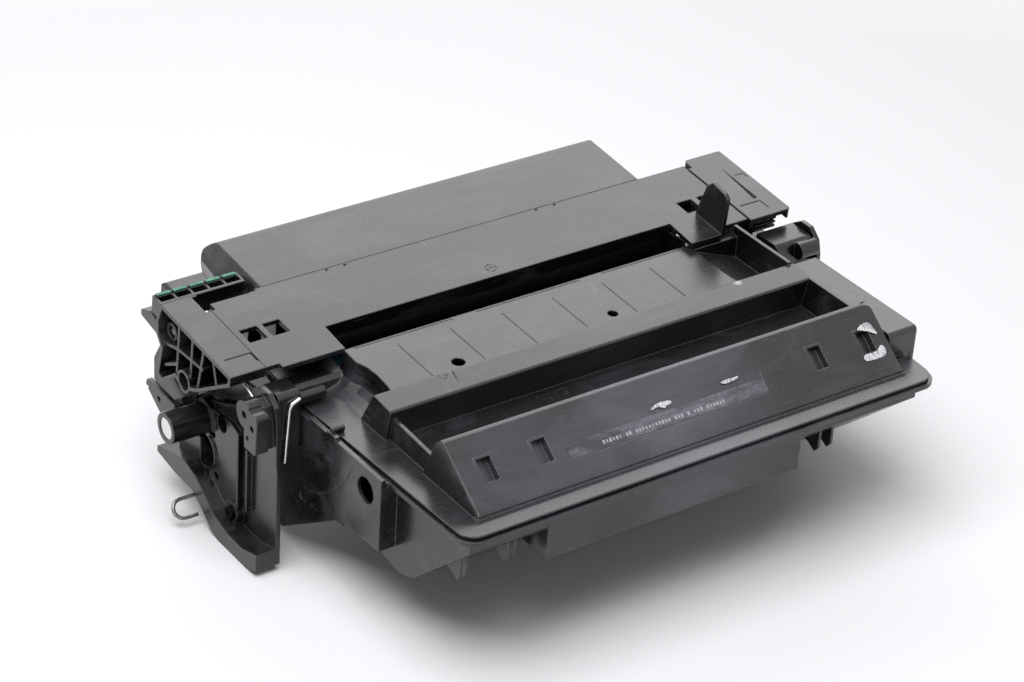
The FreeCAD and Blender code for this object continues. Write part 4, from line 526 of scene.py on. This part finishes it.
def grow(name, carrier_mesh, group, numbers):
    carrier = bpy.data.objects.new(name + "_carrier", carrier_mesh)
    bpy.context.scene.collection.objects.link(carrier)
    modifier = carrier.modifiers.new("grow", "NODES")
    modifier.node_group = group
    for socket in group.interface.items_tree:
        if socket.in_out == "INPUT" and socket.name in numbers:
            modifier[socket.identifier] = numbers[socket.name]
    graph = bpy.context.evaluated_depsgraph_get()
    plain = bpy.data.meshes.new_from_object(carrier.evaluated_get(graph), depsgraph=graph)
    bpy.data.objects.remove(carrier)
    plain.name = name
    piece = bpy.data.objects.new(name, plain)
    bpy.context.scene.collection.objects.link(piece)
    print("grew", name, "with", len(plain.polygons), "faces")
    return piece


# %% [markdown]
# ## Bent wires
# Three wires catch the light: the spring that lies over the left saddle, the long rod of the
# drum shutter with its hairpin loop at the left foot, and a short contact wire by the left cap.
# Wire is round and bends in arcs, never in corners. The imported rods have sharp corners, so
# these pieces stand for them: a path through the same corners, each corner turned into an arc,
# and a round section drawn along it.

# %% Wires
wire_group, given = new_group("bent_wire",
                              {"Wire radius": 0.001, "Bend radius": 0.003, "Sides": 16})
path = add(wire_group, "GeometryNodeMeshToCurve", {0: given["Geometry"]})
arcs = add(wire_group, "GeometryNodeFilletCurve",
           {"Curve": path.outputs[0], "Radius": given["Bend radius"], "Count": 8,
            "Limit Radius": True}, mode="POLY")
ring = add(wire_group, "GeometryNodeCurvePrimitiveCircle",
           {"Resolution": given["Sides"], "Radius": given["Wire radius"]})
tube = add(wire_group, "GeometryNodeCurveToMesh",
           {"Curve": arcs.outputs[0], "Profile Curve": ring.outputs[0], "Fill Caps": True})
close_group(wire_group, tube.outputs[0], plated_steel)


def bent_wire(name, corners_mm, radius_mm, bend_mm):
    line = bpy.data.meshes.new(name + "_path")
    line.from_pydata([at(*corner) for corner in corners_mm],
                     [(i, i + 1) for i in range(len(corners_mm) - 1)], [])
    return grow(name, line, wire_group,
                {"Wire radius": radius_mm * MM, "Bend radius": bend_mm * MM})


WIRE_Y, SADDLE_X1, SADDLE_TOP = 128.65, -9.3, 12.0
saddle_wire = bent_wire("saddle_wire_round",
                        [(SADDLE_X1 - 1.0, WIRE_Y, SADDLE_TOP - 3.6),
                         (SADDLE_X1 - 5.6, WIRE_Y, SADDLE_TOP - 5.6),
                         (SADDLE_X1 - 6.8, WIRE_Y, SADDLE_TOP - 8.0),
                         (SADDLE_X1 - 9.0, WIRE_Y, -25.5)], radius_mm=1.1, bend_mm=2.6)
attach(saddle_wire, body_of["saddle_wire"])
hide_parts("saddle_wire")

# the rod runs from its right end to the left foot, turns back in the loop and ends a little inside
LOOP_X, LOOP_R, LOOP_DROP, LOOP_STEPS = -50.5, 4.95, 7.0, 12
PIVOT_Y, PIVOT_Z, ROD_RIGHT_X, ROD_TAIL_X = 183.0, -70.0, 308.3, -38.8
rod_path = [(ROD_RIGHT_X, PIVOT_Y, PIVOT_Z)]
for step in range(LOOP_STEPS + 1):
    turn = math.pi * step / LOOP_STEPS
    part_way = (1 - math.cos(turn)) / 2 * LOOP_DROP
    rod_path.append((LOOP_X + LOOP_R - LOOP_R * math.sin(turn),
                     PIVOT_Y - part_way, PIVOT_Z - part_way))
rod_path.append((ROD_TAIL_X, PIVOT_Y - LOOP_DROP, PIVOT_Z - LOOP_DROP))
shutter_rod = bent_wire("shutter_rod_round", rod_path, radius_mm=1.0, bend_mm=0.4)
shutter_rod.data.materials[0] = oiled_steel
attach(shutter_rod, body_of["shutter_rod"])
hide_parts("shutter_rod")

CONTACT_X = -30.0
contact_wire = bent_wire("contact_wire",
                         [(CONTACT_X, 151.5, 12.4), (CONTACT_X, 147.0, 12.2),
                          (CONTACT_X, 139.6, 9.6), (CONTACT_X, 138.6, 5.5)],
                         radius_mm=0.45, bend_mm=0.9)
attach(contact_wire, body_of["left_cap"])

# %% [markdown]
# ## Webs behind the caps and at the slot's end
# Behind the openings under the left and right cap and at the end of the laser slot the photograph
# is black, because thin webs of the drum unit close the view there. Four plain moulded sheets
# stand in those places, inside the outline of the solids and clear of everything that swings.

# %% Webs
BREAK_MM = 0.25


def web(name, outline_mm, axis, start_mm, thick_mm):
    # the outline lies across the axis: (y, z) points for "x" and (x, z) points for "y"
    shape = bmesh.new()
    place_of = {"x": lambda a, b: at(start_mm, a, b), "y": lambda a, b: at(a, start_mm, b)}[axis]
    face = shape.faces.new([shape.verts.new(place_of(a, b)) for a, b in outline_mm])
    side = bmesh.ops.extrude_face_region(shape, geom=[face])
    step = Vector((thick_mm * MM, 0, 0)) if axis == "x" else Vector((0, thick_mm * MM, 0))
    pushed = [g for g in side["geom"] if isinstance(g, bmesh.types.BMVert)]
    bmesh.ops.translate(shape, verts=pushed, vec=step)
    bmesh.ops.recalc_face_normals(shape, faces=shape.faces)
    bmesh.ops.bevel(shape, geom=shape.edges[:], offset=BREAK_MM * MM, segments=2, affect="EDGES")
    bmesh.ops.triangulate(shape, faces=shape.faces)
    mesh = bpy.data.meshes.new(name)
    shape.to_mesh(mesh)
    shape.free()
    mesh.materials.append(end_black)
    piece = bpy.data.objects.new(name, mesh)
    bpy.context.scene.collection.objects.link(piece)
    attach(piece, body_of["left_cap"])
    print(name, "has", len(mesh.polygons), "faces")


LEFT_WEB_X, LEFT_WEB_MM = -31.2, 1.4
web("web_left", [(190.5, -15.0), (195.1, -12.0), (207.2, -22.5), (212.0, -20.0), (211.0, -5.0),
                 (213.5, 0.5), (225.0, -3.0), (234.0, -18.0), (234.0, -31.0), (228.0, -34.5),
                 (213.0, -34.0), (200.0, -30.5), (193.6, -25.0)], "x", LEFT_WEB_X, LEFT_WEB_MM)
web("web_low", [(187.0, -40.0), (207.0, -40.0), (208.5, -60.0), (187.0, -57.0)],
    "x", LEFT_WEB_X, LEFT_WEB_MM)
web("web_slot", [(148.5, 17.6), (148.5, 9.5), (153.0, 5.5), (168.0, 2.5), (168.0, 16.0)],
    "x", start_mm=237.2, thick_mm=1.3)
web("web_right", [(272.8, 3.0), (288.0, 3.0), (288.0, 13.5), (280.5, 16.5), (272.8, 16.5)],
    "y", start_mm=152.0, thick_mm=1.2)

# %% [markdown]
# ## Springs over the charge roller
# Two small coil springs press the roller's saddles against the drum. A real spring is a round
# wire wound as a helix with closed ends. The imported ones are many-sided, so they are rewound
# here from a smooth spiral of the same height, radius and number of turns.

# %% Coil springs
spring_group, given = new_group("coil_spring",
                                {"Turns": 4.0, "Coil radius": 0.0022, "Height": 0.0062,
                                 "Wire radius": 0.00035, "Steps a turn": 32})
helix = add(spring_group, "GeometryNodeCurveSpiral",
            {"Resolution": given["Steps a turn"], "Rotations": given["Turns"],
             "Start Radius": given["Coil radius"], "End Radius": given["Coil radius"],
             "Height": given["Height"]})
ring = add(spring_group, "GeometryNodeCurvePrimitiveCircle",
           {"Resolution": 10, "Radius": given["Wire radius"]})
coil = add(spring_group, "GeometryNodeCurveToMesh",
           {"Curve": helix.outputs[0], "Profile Curve": ring.outputs[0], "Fill Caps": True})
close_group(spring_group, coil.outputs[0], plated_steel)
SPRING_WIRE_MM = 0.7
for side in ("left", "right"):
    low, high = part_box("charge_spring_" + side)
    spring = grow("charge_spring_%s_round" % side, bpy.data.meshes.new("none"), spring_group,
                  {"Height": high[2] - low[2] - SPRING_WIRE_MM * MM,
                   "Wire radius": SPRING_WIRE_MM * MM / 2})
    spring.data.transform(Matrix.Translation(((low[0] + high[0]) / 2, (low[1] + high[1]) / 2,
                                              low[2] + SPRING_WIRE_MM * MM / 2)))
    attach(spring, body_of["charge_spring_" + side])
    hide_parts("charge_spring_" + side)

# %% [markdown]
# ## Where the print was
# The label carries one line of print in the photograph. A short row of thin pale bars keeps its
# weight and place without any letter. Word-long runs and gaps come from a fixed seed, and the
# bars lie a few hundredths of a millimetre above the strip.

# %% Print bars
# screen ink: flat, pale and slightly rubbed
ink, tree = empty_material("screen ink, pale grey")
place = add(tree, "ShaderNodeTexCoord").outputs["Object"]
worn_ink = add(tree, "ShaderNodeTexNoise",
               {"Vector": place, "Scale": 1500.0, "Detail": 3.0}).outputs["Fac"]
flat_ink = add(tree, "ShaderNodeBsdfPrincipled",
               {"Base Color": mix(tree, spread(tree, worn_ink, 0.4, 0.62), "#b9b8be", "#8b8a91"),
                "Roughness": 0.5})
add(tree, "ShaderNodeOutputMaterial", {"Surface": flat_ink.outputs[0]})

BAR_THICK = 0.00004
bar_group, given = new_group("print_bars",
                             {"Bars": 38, "Pitch": 0.00195, "Bar height": 0.0020, "Seed": 4})
pitch = add(bar_group, "ShaderNodeCombineXYZ", {"X": given["Pitch"]})
row = add(bar_group, "GeometryNodeMeshLine",
          {"Count": given["Bars"], "Offset": pitch.outputs[0]})
width = add(bar_group, "FunctionNodeRandomValue", {"Min": 0.45, "Max": 0.80, "Seed": given["Seed"]},
            data_type="FLOAT")
tall = add(bar_group, "FunctionNodeRandomValue", {"Min": 0.75, "Max": 1.0, "Seed": given["Seed"]},
           data_type="FLOAT")
gap = add(bar_group, "FunctionNodeRandomValue", {"Probability": 0.14, "Seed": given["Seed"]},
          data_type="BOOLEAN")
bar_y = maths(bar_group, "MULTIPLY", given["Bar height"], tall.outputs[1])
bar_x = maths(bar_group, "MULTIPLY", given["Pitch"], width.outputs[1])
size = add(bar_group, "ShaderNodeCombineXYZ", {"X": bar_x, "Y": bar_y, "Z": BAR_THICK})
keep = add(bar_group, "FunctionNodeBooleanMath", {0: gap.outputs[3]}, operation="NOT")
brick = add(bar_group, "GeometryNodeMeshCube", {"Size": (1.0, 1.0, 1.0)})
bars = add(bar_group, "GeometryNodeInstanceOnPoints",
           {"Points": row.outputs[0], "Selection": keep.outputs[0], "Instance": brick.outputs[0],
            "Scale": size.outputs[0]})
close_group(bar_group, bars.outputs[0], ink, smooth=False)
print_bars = grow("print_bars", bpy.data.meshes.new("none"), bar_group, {})
# the strip lies half a millimetre down in its recess, and the ink stands a little proud of it
LABEL_LEVEL, INK_LIFT, PRINT_ALONG, PRINT_UP = -0.5, 0.03, 92.0, 14.6
along_dir = (on_ridge(1, 0) - on_ridge(0, 0)).normalized()
up_dir = (on_ridge(0, 1) - on_ridge(0, 0)).normalized()
out_dir = along_dir.cross(up_dir)
turn = Matrix((along_dir, up_dir, out_dir)).transposed().to_4x4()
print_place = on_ridge(PRINT_ALONG, PRINT_UP, LABEL_LEVEL + INK_LIFT)
print_bars.data.transform(Matrix.Translation(print_place) @ turn)
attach(print_bars, body_of["label_strip"])

# %% [markdown]
# ## Marks of white correction paint
# The photograph shows brushed marks of white paint on the right end of the ridge, a crescent
# and a hooked stroke, and two pale scuffs above the label. Brushed paint dries as a thin film
# that is thicker in the middle and thin at its edge. Each mark is an outline smoothed into a
# closed curve and raised in two steps, so that it has a real edge that catches the light.

# %% Paint marks
paint, tree = empty_material("correction paint, brushed white")
place = add(tree, "ShaderNodeTexCoord").outputs["Object"]
brushed = add(tree, "ShaderNodeMapping",
              {"Vector": place, "Rotation": (0.4, 0.0, 0.6), "Scale": (900.0, 240.0, 600.0)})
bristle = add(tree, "ShaderNodeTexNoise",
              {"Vector": brushed.outputs[0], "Scale": 1.0, "Detail": 4.0}).outputs["Fac"]
ridged = add(tree, "ShaderNodeBump", {"Height": bristle, "Strength": 0.5, "Distance": 0.05 * MM})
film = add(tree, "ShaderNodeBsdfPrincipled",
           {"Base Color": mix(tree, spread(tree, bristle, 0.36, 0.6), "#9c9ca3", "#e9e9ec"),
            "Roughness": 0.55, "Normal": ridged.outputs[0]})
add(tree, "ShaderNodeOutputMaterial", {"Surface": film.outputs[0]})


def smooth_outline(points, steps=6):
    # a closed curve through all the points, with an even bend at each of them
    count, curve = len(points), []
    for i in range(count):
        a, b, c, d = (Vector(points[(i + k - 1) % count]) for k in range(4))
        for j in range(steps):
            t = j / steps
            curve.append(0.5 * (2 * b + (c - a) * t + (2 * a - 5 * b + 4 * c - d) * t * t
                                + (3 * b - a - 3 * c + d) * t ** 3))
    return curve


PAINT_MM, SCUFF_MM, PAINT_EDGE_MM = 0.12, 0.05, 0.25


def paint_mark(name, points, thick_mm):
    shape = bmesh.new()
    corners = [shape.verts.new(on_ridge(p.x, p.y, 0.0)) for p in smooth_outline(points)]
    face = shape.faces.new(corners)
    if face.normal.dot(out_dir) < 0:
        face.normal_flip()
    bottom = bmesh.ops.extrude_face_region(shape, geom=[face])
    top = [g for g in bottom["geom"] if isinstance(g, bmesh.types.BMFace)][0]
    bmesh.ops.translate(shape, verts=list(top.verts), vec=out_dir * thick_mm * MM * 0.5)
    bmesh.ops.inset_region(shape, faces=[top], thickness=PAINT_EDGE_MM * MM, depth=0.0)
    bmesh.ops.translate(shape, verts=list(top.verts), vec=out_dir * thick_mm * MM * 0.5)
    bmesh.ops.recalc_face_normals(shape, faces=shape.faces)
    bmesh.ops.triangulate(shape, faces=shape.faces)
    mesh = bpy.data.meshes.new(name)
    shape.to_mesh(mesh)
    shape.free()
    mesh.materials.append(paint)
    piece = bpy.data.objects.new(name, mesh)
    bpy.context.scene.collection.objects.link(piece)
    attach(piece, body_of["hopper_lid"])
    print(name, "has", len(mesh.polygons), "faces")


paint_mark("paint_crescent",
           [(256.0, 26.9), (259.0, 28.6), (263.2, 29.1), (265.1, 27.7), (266.0, 24.6),
            (266.4, 21.9), (264.3, 22.8), (261.9, 24.4), (258.7, 25.8)], PAINT_MM)
paint_mark("paint_hook",
           [(252.2, 12.2), (254.3, 13.6), (258.1, 13.3), (261.7, 13.7), (264.8, 15.6),
            (266.5, 15.1), (266.9, 12.5), (265.0, 10.2), (262.0, 9.7), (253.7, 10.1)], PAINT_MM)
paint_mark("scuff_left",
           [(123.7, 22.3), (126.9, 23.7), (131.3, 24.0), (135.7, 23.2), (135.5, 21.7),
            (132.9, 21.4), (131.0, 20.6), (127.9, 22.1), (123.8, 21.6)], SCUFF_MM)
paint_mark("scuff_right",
           [(167.3, 23.9), (171.3, 24.3), (174.9, 24.1), (178.0, 24.0), (176.1, 22.9),
            (170.2, 22.4), (167.9, 22.8)], SCUFF_MM)
